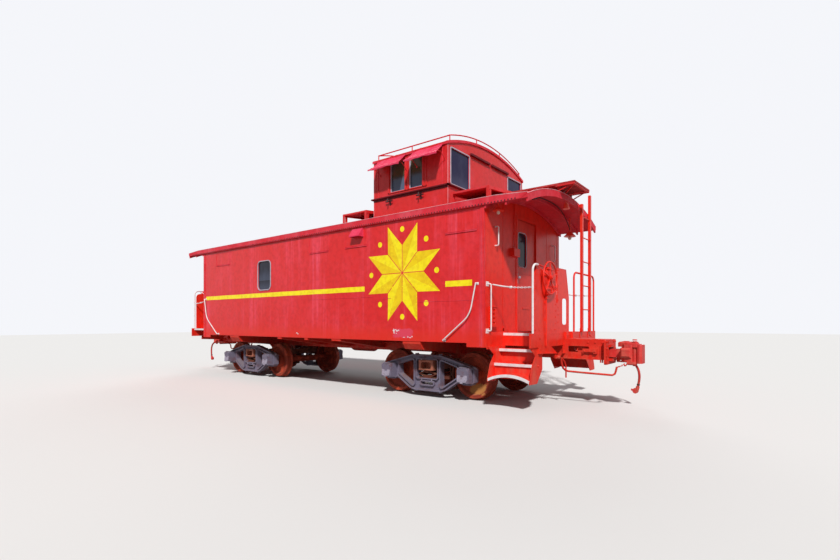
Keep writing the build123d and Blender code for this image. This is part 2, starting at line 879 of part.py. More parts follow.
def end_railing():
    """Plates along the platform's edge: a low one by the corner and a tall one by the gate."""
    x0, x1 = railing_x - railing_plate / 2, railing_x + railing_plate / 2
    near, far = plate_a
    low_plate = rounded([(near, railing_low), (far, railing_low), (far, up(railing_top - 40)),
                         (near, up(railing_top - 105))])
    corner = low_plate.vertices().sort_by(Axis.X)[:2].sort_by(Axis.Y)[-1]
    railing = along(fillet(corner, 90), x0, x1)
    near, far = plate_b
    tall = rounded([(near, railing_low), (far, railing_low), (far, up(railing_top - 481)),
                    (far - 123, up(railing_top + 5)), (near, up(railing_top + 5))])
    slot_near, slot_far, slot_low, slot_high = plate_slot
    tall -= panel(slot_near, slot_far, up(slot_low), up(slot_high), 60)
    railing += along(tall, x0, x1)
    railing += slab(x0, x1, plate_a[1] - 1, near + 1, railing_low, up(1700))
    foot = slab(x0 - 30, x1, plate_a[0], far, railing_low, railing_low + railing_plate)
    return railing + foot


def corner_handrail():
    """White post beside the steps, bent inward at its top."""
    y = -sill_half_width + corner_rail_inset
    height = up(railing_top - rail_radius)
    return rod([(railing_x, y, railing_low + seat_gap), (railing_x, y, height),
                (railing_x, corner_rail_end, height)], rail_radius, rail_bend)


def linking_rail():
    """Thinner rail from the white post's end down to the tall plate."""
    start = (railing_x, corner_rail_end + seat_gap, up(railing_top - rail_radius))
    knee = (railing_x, corner_rail_end + 90, up(railing_top - rail_radius))
    return rod([start, knee, (railing_x, plate_b[0] - seat_gap, up(link_rail_foot))], grab_radius, 60)


def far_railing():
    y = sill_half_width - corner_rail_inset
    foot = railing_low + seat_gap
    top = up(railing_top)
    return rod([(railing_x, y, foot), (railing_x, y, top), (railing_x, far_post_y, top),
                (railing_x, far_post_y, foot)], rail_radius, rail_bend)


near_rail = corner_handrail()
railing_pieces = [end_railing(), linking_rail(), far_railing()]
add("end_railing_front", *railing_pieces)
add("end_railing_rear", *[rear_copy(piece) for piece in railing_pieces])
add("handrails", near_rail, rear_copy(near_rail))


def brake_stand():
    """Gear housing on the railing plate, hand wheel in front of it and a rod down past the sill."""
    face = railing_x + railing_plate / 2 + seat_gap
    lie = Rot(0, 90, 0)
    hub = Pos(0, brake_wheel_y, up(brake_wheel_height))
    half = brake_housing_depth / 2
    housing = hub * Pos(face + half, 0, 0) * lie * Cylinder(brake_housing_radius, brake_housing_depth)
    top, foot = up(brake_wheel_height), up(brake_wheel_height - brake_tail_drop)
    tail = rounded([(brake_wheel_y - 95, top), (brake_wheel_y - 60, foot),
                    (brake_wheel_y + 60, foot), (brake_wheel_y + 95, top)])
    housing += along(tail, face, face + brake_housing_depth)
    wheel_x = face + brake_housing_depth + seat_gap + brake_hub_half
    ring_radius = brake_wheel_radius - brake_rim_radius
    wheel = hub * Pos(wheel_x, 0, 0) * lie * Torus(ring_radius, brake_rim_radius)
    for turn in range(brake_spokes):
        spoke = Rot(360 / brake_spokes * turn, 0, 0) * Pos(0, 0, (ring_radius + 30) / 2)
        wheel += hub * Pos(wheel_x, 0, 0) * spoke * Cylinder(brake_rim_radius - 3, ring_radius - 30)
    wheel += hub * Pos(wheel_x, 0, 0) * lie * Cylinder(42, 2 * brake_hub_half)
    rod_x = sill_face + seat_gap + brake_rod_radius
    rod_y = brake_wheel_y - brake_rod_offset
    rod_low, rod_high = sill_bottom + 11, brake_wheel_height - brake_tail_drop - seat_gap
    upright = Pos(rod_x, rod_y, up((rod_low + rod_high) / 2)) * Cylinder(brake_rod_radius, rod_high - rod_low)
    for height in (sill_top + 190, brake_wheel_height - 410):
        upright += slab(face, rod_x, rod_y - 20, rod_y + 20, up(height), up(height + 40))
    return housing, wheel, upright


brake_pieces = brake_stand()
add("hand_brake_front", *brake_pieces)
add("hand_brake_rear", *[rear_copy(piece) for piece in brake_pieces])


def ladder():
    """Two flat stiles outside the roof's end, bolted by lugs to the end sill's face."""
    tops = (roof_eave + 265, walk_top + 82)
    half = stile_width / 2
    made = None
    for y, top in zip(ladder_stiles, tops):
        stile = slab(ladder_x, ladder_x + stile_depth, y - half, y + half, up(sill_top + 5), up(top))
        stile += slab(sill_face + seat_gap, ladder_x, y - half + 5, y + half - 5,
                      up(sill_top - 121), up(sill_top))
        stile += slab(sill_face + seat_gap, ladder_x + stile_depth, y - half + 5, y + half - 5,
                      up(sill_top - 8), up(sill_top + 60))
        made = stile if made is None else made + stile
    x = ladder_x + stile_depth / 2
    for height in ladder_rungs:
        rung = Pos(x, sum(ladder_stiles) / 2, up(height)) * Rot(90, 0, 0)
        made += rung * Cylinder(grab_radius, ladder_stiles[1] - ladder_stiles[0])
    return made


add("ladders", ladder(), rear_copy(ladder()))


# Grab irons on the sides and ends
side_grab_bow = 50
side_grab_top = (x_end - 136, 2010)
side_grab_knee = (x_end - 250, 1500)
side_grab_foot = (x_end - 800, 1078)
side_grab_bend = 420


def side_grab():
    """Curved hand rail low on the side, with a foot at each end."""
    y = -y_side - side_grab_bow
    (xa, za), (xb, zb), (xc, zc) = side_grab_top, side_grab_knee, side_grab_foot
    rail = rod([(xa, y, up(za)), (xb, y, up(zb)), (xc, y, up(zc))], grab_radius, side_grab_bend)
    for x, z in (side_grab_top, side_grab_foot):
        stub = Pos(x, y + side_grab_bow / 2, up(z)) * Rot(90, 0, 0)
        rail += stub * Cylinder(grab_radius, side_grab_bow - 2 * seat_gap)
        rail += Pos(x, y, up(z)) * Sphere(grab_radius + 2)
        rail += slab(x - 30, x + 30, -y_side - 8, -y_side - seat_gap, up(z) - 20, up(z) + 20)
    return rail


def end_grab(y, z0, z1, reach=70):
    x = x_end + seat_gap
    return rod([(x, y, up(z0)), (x + reach, y, up(z0)), (x + reach, y, up(z1)), (x, y, up(z1))],
               grab_radius, 25)


def corner_grab():
    """Upright hand rail beside the steps, on a plate at each end."""
    y = -y_side + 110
    low, high = floor_top + 40, floor_top + 801
    grab = end_grab(y, low, high, 60)
    for z in (low, high):
        grab += slab(x_end + seat_gap, x_end + 8, y - 70, y + 20, up(z) - 38, up(z) + 38)
    return grab


grab = side_grab()
add("side_grabs", grab, rear_copy(grab), far_copy(grab), rear_copy(far_copy(grab)))
end_grabs = [end_grab(-1147, 2653, 2967), end_grab(1120, 2635, 2954), corner_grab(), far_copy(corner_grab())]
add("end_grabs", *end_grabs, *[rear_copy(piece) for piece in end_grabs])


# Running boards on the roof

def boards(x0, x1, cleats):
    """Planks along the crown, joined by cleats that stand on the roof."""
    low = up(walk_top - walk_thickness)
    pitch = 2 * walk_half_width / walk_boards
    walk = None
    for index in range(walk_boards):
        y = -walk_half_width + pitch * index
        plank = slab(x0, x1, y + board_gap / 2, y + pitch - board_gap / 2, low, up(walk_top))
        walk = plank if walk is None else walk + plank
    foot_y = walk_half_width - 100
    foot = up(roof_height(foot_y - 20)) + seat_gap
    for x in cleats:
        walk += slab(x - cleat_width / 2, x + cleat_width / 2, -walk_half_width + board_gap,
                     walk_half_width - board_gap, low - 25, low + walk_thickness / 2)
        for y in (-foot_y, foot_y):
            walk += slab(x - cleat_width / 2, x + cleat_width / 2, y - 20, y + 20, foot, low)
    return walk


walk_end = x_roof + walk_beyond_roof
front_cleats = (cupola_front + 260, (cupola_front + x_roof) / 2, x_roof - 40)
front_walk = boards(cupola_front + 60, walk_end, front_cleats)
rear_start, rear_stop = -walk_end, cupola_rear - 60
rear_cleats = [-x_roof + 40 + (rear_stop - 160 + x_roof) * step / 5 for step in range(6)]
add("roof_walks", front_walk, boards(rear_start, rear_stop, rear_cleats))


def lateral_deck(x0, length):
    """Near half of a deck that follows the roof's arch down to the eave, on four feet."""
    x1 = x0 + length
    deck = along(arch_band(lateral_reach, roof_height, walk_thickness, -lateral_rise), x0, x1)
    deck -= slab(x0 - 1, x1 + 1, -walk_half_width - seat_gap, lateral_reach + 100,
                 up(roof_eave - roof_rise), up(roof_crown + 2 * roof_rise))
    for x in (x0 + 20, x1 - 20):
        for y in (lateral_reach - 50, walk_half_width + 200):
            foot = up(roof_height(y - 20)) + seat_gap
            top = up(roof_height(y, walk_thickness / 2 - lateral_rise))
            deck += slab(x - 15, x + 15, -y - 20, -y + 20, foot, top)
    return deck


decks = [lateral_deck(*span) for span in lateral_decks]
add("lateral_decks", *decks, *[far_copy(deck) for deck in decks])


# Couplers, strikers and uncoupling levers

coupler_z = up(coupler_height)
knuckle_x = draft_end + knuckle_reach


def striker():
    """Casting on the draft sill's end, with the shank's window and a carrier under it."""
    x0 = draft_end + seat_gap
    plate = panel(-striker_half, striker_half, up(striker_low), up(striker_high), 30)
    plate -= panel(-100, 100, coupler_z - 90, coupler_z + 90, 10)
    casting = along(plate, x0, x0 + striker_thickness)
    casting += slab(x0, x0 + 90, -115, 115, coupler_z - 130, coupler_z - 90)
    casting += slab(x0, x0 + 70, -115, 115, coupler_z + 100, coupler_z + 135)
    return casting


def knuckle_outline():
    """Knuckle from above: rounded nose outside, hooked pulling face inside."""
    x = knuckle_x
    return rounded([(x - 105, -118), (x - 15, -132), (x + 8, -168), (x + 42, -180), (x + 78, -150),
                    (x + 78, 25), (x + 52, 55), (x + 20, 45), (x + 8, -30), (x - 20, -62),
                    (x - 105, -70)], 10)


def coupler():
    """Shank, head, guard arm and knuckle on the car's centre line."""
    shank = slab(draft_end - shank_pocket, knuckle_x - head_back, -shank_half, shank_half,
                 coupler_z - shank_half, coupler_z + shank_half)
    x = knuckle_x
    head_face = rounded([(x - head_back - 20, -90), (x - 200, -160), (x - 90, -182), (x - 72, -170),
                         (x - 62, 60), (x - 10, 190), (x - 40, 235), (x - 90, 240), (x - 170, 120),
                         (x - head_back - 20, 90)], 8)
    head = upward(head_face, coupler_z - 125, coupler_z + 150)
    crown_face = rounded([(x - 320, -85), (x - 150, -150), (x + 8, -172), (x + 8, -40), (x - 70, 150),
                          (x - 150, 130), (x - 320, 85)], 20)
    crown = upward(crown_face, coupler_z + 110, coupler_z + crown_height)
    crown = chamfer(crown.faces().sort_by(Axis.Z)[-1].edges(), 18)
    lug_face = rounded([(x - 165, -180), (x - 10, -180), (x - 10, -50), (x - 165, -50)], 40)
    lug = upward(lug_face, coupler_z - 176, coupler_z - 120)
    lug = chamfer(lug.faces().sort_by(Axis.Z)[0].edges(), 15)
    boss = slab(x - 250, x - 82, -218, -100, coupler_z - 66, coupler_z + 96)
    boss = chamfer(boss.faces().sort_by(Axis.Y)[0].edges(), 26)
    knuckle = upward(knuckle_outline(), coupler_z - knuckle_height_half, coupler_z + knuckle_height_half)
    knuckle = chamfer(knuckle.faces().sort_by(Axis.Z)[-1].edges(), 4)
    pin = Pos(x - 45, -112, coupler_z + 7) * Cylinder(32, crown_height + 176 + 30)
    return shank + head + crown + lug + boss + knuckle + pin


add("coupler_front", coupler())
add("coupler_rear", turned_copy(coupler()))
add("strikers", striker(), rear_copy(striker()))

lever_radius = 13
lever_x = sill_face + 60
lever_route = ((lever_x, -640, 800), (lever_x, -434, 800), (lever_x, -380, 650), (lever_x + 40, -230, 548),
               (draft_end - 10, -215, 530), (draft_end + 150, -170, 520), (draft_end + 180, -170, 660))
lever_bend = 45
bracket_y = 540


def uncoupling_lever():
    """Bent rod from a bracket under the end sill to the coupler's lock, with a hanging handle."""
    lever = rod([(x, y, up(z)) for x, y, z in lever_route], lever_radius, lever_bend)
    handle = rod([(lever_x, -470, up(800)), (lever_x + 25, -440, up(640)), (lever_x + 10, -400, up(419))],
                 lever_radius - 2, 60)
    near, far = sill_half_width - gusset_inner, sill_half_width - gusset_outer
    edge = sill_bottom - gusset_drop - gusset_slope * (far - bracket_y) / (far - near)
    bracket = slab(sill_face - sill_thickness, sill_face + 75, -bracket_y - 20, -bracket_y,
                   up(780), up(edge) - seat_gap)
    return lever + handle + bracket


add("uncoupling_levers", uncoupling_lever(), turned_copy(uncoupling_lever()))


# Air hoses, their couplings and the train line

hose_radius = 21
hose_y = 330
hose_start = draft_end + 190
hose_route = ((hose_start, 745), (hose_start + 85, 722), (hose_start + 155, 667), (hose_start + 200, 590),
              (hose_start + 217, 500), (hose_start + 213, 400), (hose_start + 192, 305))


def hose():
    points = [(x, hose_y, up(z)) for x, z in hose_route]
    bends = []
    for before, corner, after in zip(points, points[1:], points[2:]):
        run_in = Vector(*corner) - Vector(*before)
        run_out = Vector(*after) - Vector(*corner)
        turn = math.radians(run_in.get_angle(run_out))
        bends.append(0.49 * min(run_in.length, run_out.length) / math.tan(turn / 2))
    path = FilletPolyline(*points, radius=bends)
    tube = bar(path, hose_radius)
    print("hose bends", [round(bend) for bend in bends], "length", round(path.length),
          "volume ratio", round(tube.volume / (math.pi * hose_radius ** 2 * path.length), 4))
    return tube, path


hose_tube, hose_path = hose()
add("air_hose_front", hose_tube)
add("air_hose_rear", turned_copy(hose_tube))


def glad_hand():
    """Coupling on the hose's end: a collar, a curved body and its round face."""
    end = Plane(origin=hose_path @ 1, z_dir=hose_path % 1)
    body = end * Pos(0, 0, 30) * Cylinder(hose_radius + 8, 60)
    body += end * Pos(22, 0, 82) * Rot(90, 0, 0) * Cylinder(46, 50)
    body += end * Pos(60, 0, 82) * Box(70, 34, 30)
    return body


def train_line():
    """Pipe beside the draft sill, held by a bracket, with the cock and collar of the hose."""
    start = Plane(origin=hose_path @ 0, z_dir=hose_path % 0)
    collar = start * Pos(0, 0, -45) * Cylinder(hose_radius + 10, 90)
    x, z = hose_start - 70, up(hose_route[0][1]) + 10
    pipe = rod([(x, hose_y, z), (sill_face + 325, hose_y, z),
                (sill_face + 325, centre_sill_half + draft_flange + seat_gap, z)], 22, 100)
    cock = Pos(x - 60, hose_y, z) * Cylinder(30, 110)
    handle = slab(x - 70, x - 50, hose_y - 90, hose_y, z + 50, z + 62)
    return collar + pipe + cock + handle


add("glad_hand_front", glad_hand())
add("glad_hand_rear", turned_copy(glad_hand()))
add("train_lines", train_line(), turned_copy(train_line()))


# Brake gear under the floor

tank_radius = 200
tank_length = 780
tank_place = (-535, 700)
cylinder_radius = 150
cylinder_length = 380
cylinder_place = (400, 560)
piston_length = 170
tank_height = 830


def brake_gear():
    """Air reservoir with domed ends in two straps, and the brake cylinder with its piston rod."""
    z = up(tank_height)
    hang = up(underfloor) - seat_gap
    x, y = tank_place
    lie = Rot(0, 90, 0)
    tank = Pos(x, y, z) * lie * Cylinder(tank_radius, tank_length)
    tank = fillet(tank.edges().filter_by(GeomType.CIRCLE), 60)
    for offset in (-240, 240):
        tank += slab(x + offset - 25, x + offset + 25, y - tank_radius - 10, y + tank_radius + 10, z, hang)
    x, y = cylinder_place
    chamber = Pos(x, y, z + 20) * lie * Cylinder(cylinder_radius, cylinder_length)
    chamber += Pos(x + cylinder_length / 2 + 12, y, z + 20) * lie * Cylinder(cylinder_radius + 18, 24)
    chamber += Pos(x + (cylinder_length + piston_length) / 2, y, z + 20) * lie * Cylinder(24, piston_length)
    chamber += slab(x - 100, x + 100, y - 130, y + 130, z + 60, hang)
    return tank, chamber


tank, brake_cylinder = brake_gear()
add("brake_gear", tank, brake_cylinder)


# Trucks

def wheel_profile(side):
    """Half section of a wheel, revolved about its axle. side is -1 near, 1 far."""
    back = back_to_back / 2
    tread = wheel_diameter / 2
    flange = tread + flange_height
    front = back + rim_width
    hub_back = back - (hub_width - rim_width) / 2
    hub_front = hub_back + hub_width
    web_y = back + rim_width / 2
    half_web = web_thickness / 2
    rim_inner = tread - rim_depth
    points = [
        (axle_radius, hub_back), (hub_radius, hub_back), (hub_radius + 25, web_y - half_web - 20),
        (rim_inner - 25, web_y - half_web + 10), (rim_inner, back), (flange - 8, back),
        (flange, back + 10), (flange - 6, back + flange_width), (tread + 1, back + flange_width + 14),
        (tread - 5, front - 8), (tread - 13, front), (rim_inner, front),
        (rim_inner - 25, web_y + half_web + 10), (hub_radius + 25, web_y + half_web - 20),
        (hub_radius, hub_front), (axle_radius, hub_front),
    ]
    face = make_face(Polyline(*[(r, side * y) for r, y in points], close=True))
    return revolve(face, axis=Axis.Y)


def wheelset(x):
    """Axle with its two pressed-on wheels and journals."""
    axle = Rot(90, 0, 0) * Cylinder(axle_radius, back_to_back + rim_width * 2 + 40)
    axle += Rot(90, 0, 0) * Cylinder(journal_radius, 2 * (journal_y + journal_length / 2 - 20))
    whole = axle + wheel_profile(-1) + wheel_profile(1)
    return Pos(x, 0, up(axle_height)) * whole


axle_places = (
    ("wheelset_1", truck_center + wheelbase / 2), ("wheelset_2", truck_center - wheelbase / 2),
    ("wheelset_3", -truck_center + wheelbase / 2), ("wheelset_4", -truck_center - wheelbase / 2),
)
for name, x in axle_places:
    add(name, wheelset(x))


def from_axle(points):
    return [(x, up(axle_height + z)) for x, z in points]


def mirrored(points):
    """Half outline with its mirror image, as one closed outline."""
    left = [(-x, z) for x, z in reversed(points) if x]
    return points + left


def frame_face():
    """Outline of the side frame, before its windows are cut."""
    half = list(chord) + list(lower_chord)
    return rounded(from_axle(mirrored(half)))


def frame_windows():
    right = rounded(from_axle(end_window), window_fillet)
    middle = panel(-bolster_window_half, bolster_window_half, up(axle_height + bolster_window_low),
                   up(axle_height + bolster_window_high), window_fillet)
    half, low, high, corner = seat_slot
    slot = panel(-half, half, up(axle_height + low), up(axle_height + high), corner)
    return [right, mirror(right, about=Plane.YZ), middle, slot]


def journal_box(x):
    """Box round the journal, with its sloping front and the lid on it."""
    z = up(axle_height)
    y0 = -frame_outer_y - box_reach
    profile = [(-frame_inner_y, z + box_high - 30), (-frame_inner_y, z + box_low + 30),
               (-frame_outer_y + 10, z + box_low), (y0 - lid_slope, z + box_low + 24), (y0, z + box_high),
               (-frame_outer_y + 10, z + box_high)]
    box = along(rounded(profile), x - box_half, x + box_half)
    slope = math.degrees(math.atan2(lid_slope, box_high - box_low - 24))
    middle = (y0 - lid_slope / 2, z + (box_high + box_low + 24) / 2)
    lid_place = Pos(x, *middle) * Rot(90 + slope, 0, 0)
    half_width, half_height = box_half - lid_margin, (box_high - box_low) / 2 - lid_margin - 12
    lid_face = fillet(Rectangle(2 * half_width, 2 * half_height).vertices(), 40)
    box += lid_place * extrude(lid_face, amount=lid_thickness)
    boss = lid_place * Pos(0, -10, lid_thickness) * Cylinder(34, 14)
    box += boss
    barrel = Pos(x, y0 + 2, z + box_high - 2) * Rot(0, 90, 0)
    return box + barrel * Cylinder(15, 2 * half_width - 60)


def side_frame():
    """Near casting of a truck: flanged round its outline and windows, with a journal box at each end."""
    outline = frame_face()
    windows = frame_windows()
    pocket = offset(outline, amount=-flange_rib)
    for window in windows:
        pocket -= offset(window, amount=flange_rib)
        outline -= window
    casting = across(outline, -frame_outer_y, -frame_inner_y)
    casting -= across(pocket, -frame_outer_y - 1, -frame_outer_y + web_recess)
    for x in (-wheelbase / 2, wheelbase / 2):
        casting += journal_box(x)
        bore = Pos(x, -journal_y, up(axle_height)) * Rot(90, 0, 0)
        bore_length = journal_length + 8
        casting -= bore * Cylinder(journal_radius + journal_gap, bore_length)
    return casting


def truck_bolster():
    """Cross beam with an open end, its centre bowl and its side bearings."""
    low = up(axle_height + bolster_low)
    high = low + bolster_deep
    half = bolster_width / 2
    sunk = high - bolster_dip
    profile = [(-bolster_end_y, low), (bolster_end_y, low), (bolster_end_y, high), (880, high),
               (480, sunk), (-480, sunk), (-880, high), (-bolster_end_y, high)]
    beam = along(rounded(profile), -half, half)
    margin, foot, head = bolster_mouth
    mouth = panel(-half + margin, half - margin, low + foot, high - head, 44)
    for y0, y1 in ((-bolster_end_y - 1, -bolster_end_y + 150), (bolster_end_y - 150, bolster_end_y + 1)):
        beam -= across(mouth, y0, y1)
    top = up(centre_plate_height)
    bowl_low = sunk - 30
    beam += Pos(0, 0, (bowl_low + top) / 2) * Cylinder(centre_plate_radius + 45, top - bowl_low)
    for side in (-1, 1):
        y0, y1 = sorted((side * 600, side * 700))
        beam += slab(-120, 120, y0, y1, sunk, high + 18)
    return beam


def leaf(rise, index, z, hand):
    """One bowed leaf. hand is 1 for a leaf bowed upward, -1 for one bowed downward."""
    reach = spring_half - index * 34
    drop = rise * (1 - (reach / spring_half) ** 2)
    base = z + hand * (index * leaf_thickness + drop)
    peak = z + hand * (index * leaf_thickness + rise)
    thick = hand * leaf_thickness
    outer = ThreePointArc((-reach, base + thick), (0, peak + thick), (reach, base + thick))
    inner = ThreePointArc((reach, base), (0, peak), (-reach, base))
    return make_face(outer + Line((reach, base + thick), (reach, base)) + inner
                     + Line((-reach, base), (-reach, base + thick)))


def spring_nest(side):
    """Elliptic spring: two packs of bowed leaves that meet at their tips, between two seats."""
    y = side * journal_y
    floor_z = up(axle_height + bolster_window_low) + seat_gap
    roof_z = up(axle_height + bolster_low) - seat_gap
    middle = (floor_z + roof_z) / 2
    rise = (roof_z - floor_z) / 2 - spring_seat - leaf_count * leaf_thickness
    nest = slab(-spring_half, spring_half, y - leaf_width / 2 - 12, y + leaf_width / 2 + 12,
                floor_z, floor_z + spring_seat + 3)
    nest += slab(-90, 90, y - leaf_width / 2 - 8, y + leaf_width / 2 + 8, roof_z - spring_seat - 3, roof_z)
    for index in range(leaf_count):
        for hand in (1, -1):
            nest += across(leaf(rise, index, middle, hand), y - leaf_width / 2, y + leaf_width / 2)
    for x in (-spring_half + 8, spring_half - 8):
        nest += Pos(x, y, middle) * Rot(90, 0, 0) * Cylinder(12, leaf_width + 14)
    nest += slab(-38, 38, y - leaf_width / 2 - 8, y + leaf_width / 2 + 8, floor_z, floor_z + spring_seat + 40)
    nest += slab(-38, 38, y - leaf_width / 2 - 8, y + leaf_width / 2 + 8, roof_z - spring_seat - 40, roof_z)
    return nest


casting = side_frame()
springs = [spring_nest(-1), spring_nest(1)]
for name, x in (("front", truck_center), ("rear", -truck_center)):
    add(f"truck_bolster_{name}", Pos(x, 0, 0) * truck_bolster())
    add(f"truck_side_frames_{name}", Pos(x, 0, 0) * casting, Pos(x, 0, 0) * far_copy(casting))
    add(f"truck_springs_{name}", *[Pos(x, 0, 0) * nest for nest in springs])


def brake_shoe(side):
    """Curved shoe just clear of the tread, with its head."""
    tread = wheel_diameter / 2 + flange_height + shoe_gap
    y = side * (back_to_back + rim_width) / 2
    outer = tread + shoe_thickness
    spread = math.radians(shoe_angle)
    inner_arc = [(-tread * math.cos(a), tread * math.sin(a)) for a in (-spread, 0, spread)]
    outer_arc = [(-outer * math.cos(a), outer * math.sin(a)) for a in (spread, 0, -spread)]
    face = make_face(ThreePointArc(*inner_arc) + Line(inner_arc[2], outer_arc[0]) + ThreePointArc(*outer_arc)
                     + Line(outer_arc[2], inner_arc[0]))
    half = rim_width / 2 - 12
    return Pos(wheelbase / 2, 0, up(axle_height)) * across(face, y - half, y + half)


def brake_beam():
    """Beam behind one axle's wheels, with its two shoes and a guide at each end on the side frame."""
    shoe_back = wheelbase / 2 - wheel_diameter / 2 - flange_height - shoe_gap - shoe_thickness
    x = shoe_back - 20
    beam = Pos(x, 0, up(brake_beam_height)) * Rot(90, 0, 0)
    beam_end = frame_inner_y - seat_gap
    beam = beam * Cylinder(beam_radius, 2 * beam_end)
    for side in (-1, 1):
        beam += brake_shoe(side)
        y0, y1 = sorted((side * (beam_end - beam_radius), side * beam_end))
        beam += slab(bolster_window_half + 12, x + beam_radius, y0, y1, up(brake_beam_height - beam_radius),
                     up(brake_beam_height + beam_radius))
        y = side * (back_to_back + rim_width) / 2
        beam += slab(x - 20, shoe_back + 25, y - 30, y + 30, up(brake_beam_height - 45),
                     up(brake_beam_height + 45))
    return beam


beam = brake_beam()
for name, x in (("front", truck_center), ("rear", -truck_center)):
    add(f"brake_beams_{name}", Pos(x, 0, 0) * beam, Pos(x, 0, 0) * rear_copy(beam))


# Lamps and a bell under the canopies

def cone_lamp(from_end, y, height, size):
    x = x_end + from_end
    top = up(roof_height(abs(y) + 12, roof_thickness)) - seat_gap
    shade_cone = Pos(x, y, up(height)) * Cone(95 * size, 30 * size, 70 * size)
    stem_low = up(height) + 30 * size
    stem = Pos(x, y, (stem_low + top) / 2) * Cylinder(12, top - stem_low)
    return shade_cone + stem


def bell():
    """Small bell hung under the rib at the canopy's edge."""
    x = x_roof - rib_width / 2
    top = up(roof_crown - roof_thickness - rib_depth) - seat_gap
    body = Pos(x, 0, top - 88) * Cone(60, 34, 100)
    return body + Pos(x, 0, top - 22) * Cylinder(9, 44)


near_lamp_height = roof_eave - 95
far_lamp_height = roof_eave - 200
lamps = [cone_lamp(128, -1252, near_lamp_height, 1), cone_lamp(458, 950, far_lamp_height, 1.25), bell()]
add("canopy_lamps", *lamps, *[rear_copy(lamp) for lamp in lamps])


# Rails round the cupola's roof

cupola_rail_rise = 95
cupola_rail_y = cupola_half_width - 87
cupola_rail_ends = (cupola_rear + 40, cupola_front - 26)


def cupola_rails():
    """One rail round the roof on posts: straight along the sides, arched across the ends."""
    side_top = up(cupola_height(cupola_rail_y)) + cupola_rail_rise
    x0, x1 = cupola_rail_ends
    made = None
    for side in (-1, 1):
        y = side * cupola_rail_y
        rail = rod([(x0, y, side_top), (x1, y, side_top)], grab_radius)
        foot = up(cupola_height(cupola_rail_y - grab_radius)) + seat_gap
        for x in (x0, (x0 + x1) / 2, x1):
            rail += Pos(x, y, (foot + side_top) / 2) * Cylinder(grab_radius - 1, side_top - foot)
            rail += Pos(x, y, side_top) * Sphere(grab_radius + 2)
        made = rail if made is None else made + rail
    arch_top = up(cupola_crown) + cupola_rail_rise
    for x in cupola_rail_ends:
        arch = ThreePointArc((x, -cupola_rail_y, side_top), (x, 0, arch_top), (x, cupola_rail_y, side_top))
        made += bar(arch, grab_radius)
        for y in (-cupola_rail_y / 3, cupola_rail_y / 3):
            foot = up(cupola_height(abs(y) - grab_radius)) + seat_gap
            top = up(cupola_height(abs(y))) + cupola_rail_rise
            made += Pos(x, y, (foot + top) / 2) * Cylinder(grab_radius - 1, top - foot)
    return made


add("cupola_rails", cupola_rails())


# Chains across the stair wells

chain_radius = 7
chain_height = floor_top + 792
chain_post_height = floor_top + 716
chain_sag = 24


def gate_chain():
    """Chain from the body's corner grab to the corner handrail, as its plain outer form."""
    y = -y_side + 110
    y_post = -sill_half_width + corner_rail_inset
    x0 = x_end + seat_gap + 60 + grab_radius + seat_gap
    x1 = railing_x - rail_radius - seat_gap
    z0, z1 = up(chain_height), up(chain_post_height)
    points = []
    for share in (0, 0.25, 0.5, 0.75, 1):
        sag = 4 * chain_sag * share * (1 - share)
        points.append((x0 + 12 + (x1 - x0 - 24) * share, y + (y_post - y) * share,
                       z0 + (z1 - z0) * share - sag))
    swag = rod(points, chain_radius, 200)
    for x, eye_y, z in (points[0], points[-1]):
        swag += Pos(x, eye_y, z) * Rot(0, 90, 0) * Cylinder(chain_radius + 4, 24)
    return swag


chain = gate_chain()
add("gate_chains", chain, far_copy(chain), rear_copy(chain), rear_copy(far_copy(chain)))

os.makedirs("parts", exist_ok=True)
for name, shape in parts.items():
    export_step(shape, f"parts/{name}.step")
print(len(parts), "nodes")
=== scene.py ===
import math
import random

import bmesh
import bpy
from mathutils import Matrix, Vector


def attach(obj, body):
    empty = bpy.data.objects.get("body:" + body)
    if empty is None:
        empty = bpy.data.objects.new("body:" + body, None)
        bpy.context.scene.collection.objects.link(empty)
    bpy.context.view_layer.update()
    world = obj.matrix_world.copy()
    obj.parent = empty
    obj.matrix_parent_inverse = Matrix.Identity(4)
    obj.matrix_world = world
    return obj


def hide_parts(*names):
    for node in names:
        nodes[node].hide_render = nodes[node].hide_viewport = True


# Looks of a cupola caboose, in metres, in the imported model's own frame: X runs along the car
# with the cupola towards +X, Y runs across it and Z is up from the plane under the flanges.
# Heights are given above the rail head, and up() turns them into Z.

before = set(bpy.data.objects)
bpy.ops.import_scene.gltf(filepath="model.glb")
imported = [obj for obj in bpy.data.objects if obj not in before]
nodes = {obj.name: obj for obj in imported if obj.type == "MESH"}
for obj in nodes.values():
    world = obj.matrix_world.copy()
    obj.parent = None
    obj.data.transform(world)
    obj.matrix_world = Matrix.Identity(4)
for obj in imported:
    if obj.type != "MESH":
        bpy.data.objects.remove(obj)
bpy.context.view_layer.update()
chance = random.Random(7)

flange_height = 0.025
x_end, y_side = 4.572, 1.475
x_roof, sill_face = 5.360, 5.375
sill_half_width, roof_half_width = 1.435, 1.511
roof_eave, roof_rise = 3.320, 0.315
cupola_half_width = 1.357
cupola_front, cupola_rear = 3.756, 1.950
cupola_eave, cupola_rise = 4.520, 0.250
floor_top, body_bottom = 1.203, 1.043


def up(height):
    """Height above the rail head, turned into the frame's Z."""
    return flange_height + height


def arch_radius(half_width, rise):
    return (half_width ** 2 + rise ** 2) / (2 * rise)


def arched(half_width, eave, rise):
    """Function that gives the height of a roof's outer face at y, or of a face drop below it."""
    radius = arch_radius(half_width, rise)
    return lambda y, drop=0.0: eave + rise - radius + math.sqrt((radius - drop) ** 2 - y * y)


roof_height = arched(roof_half_width, roof_eave, roof_rise)
cupola_height = arched(cupola_half_width, cupola_eave, cupola_rise)


# Colours, written as they look on a screen

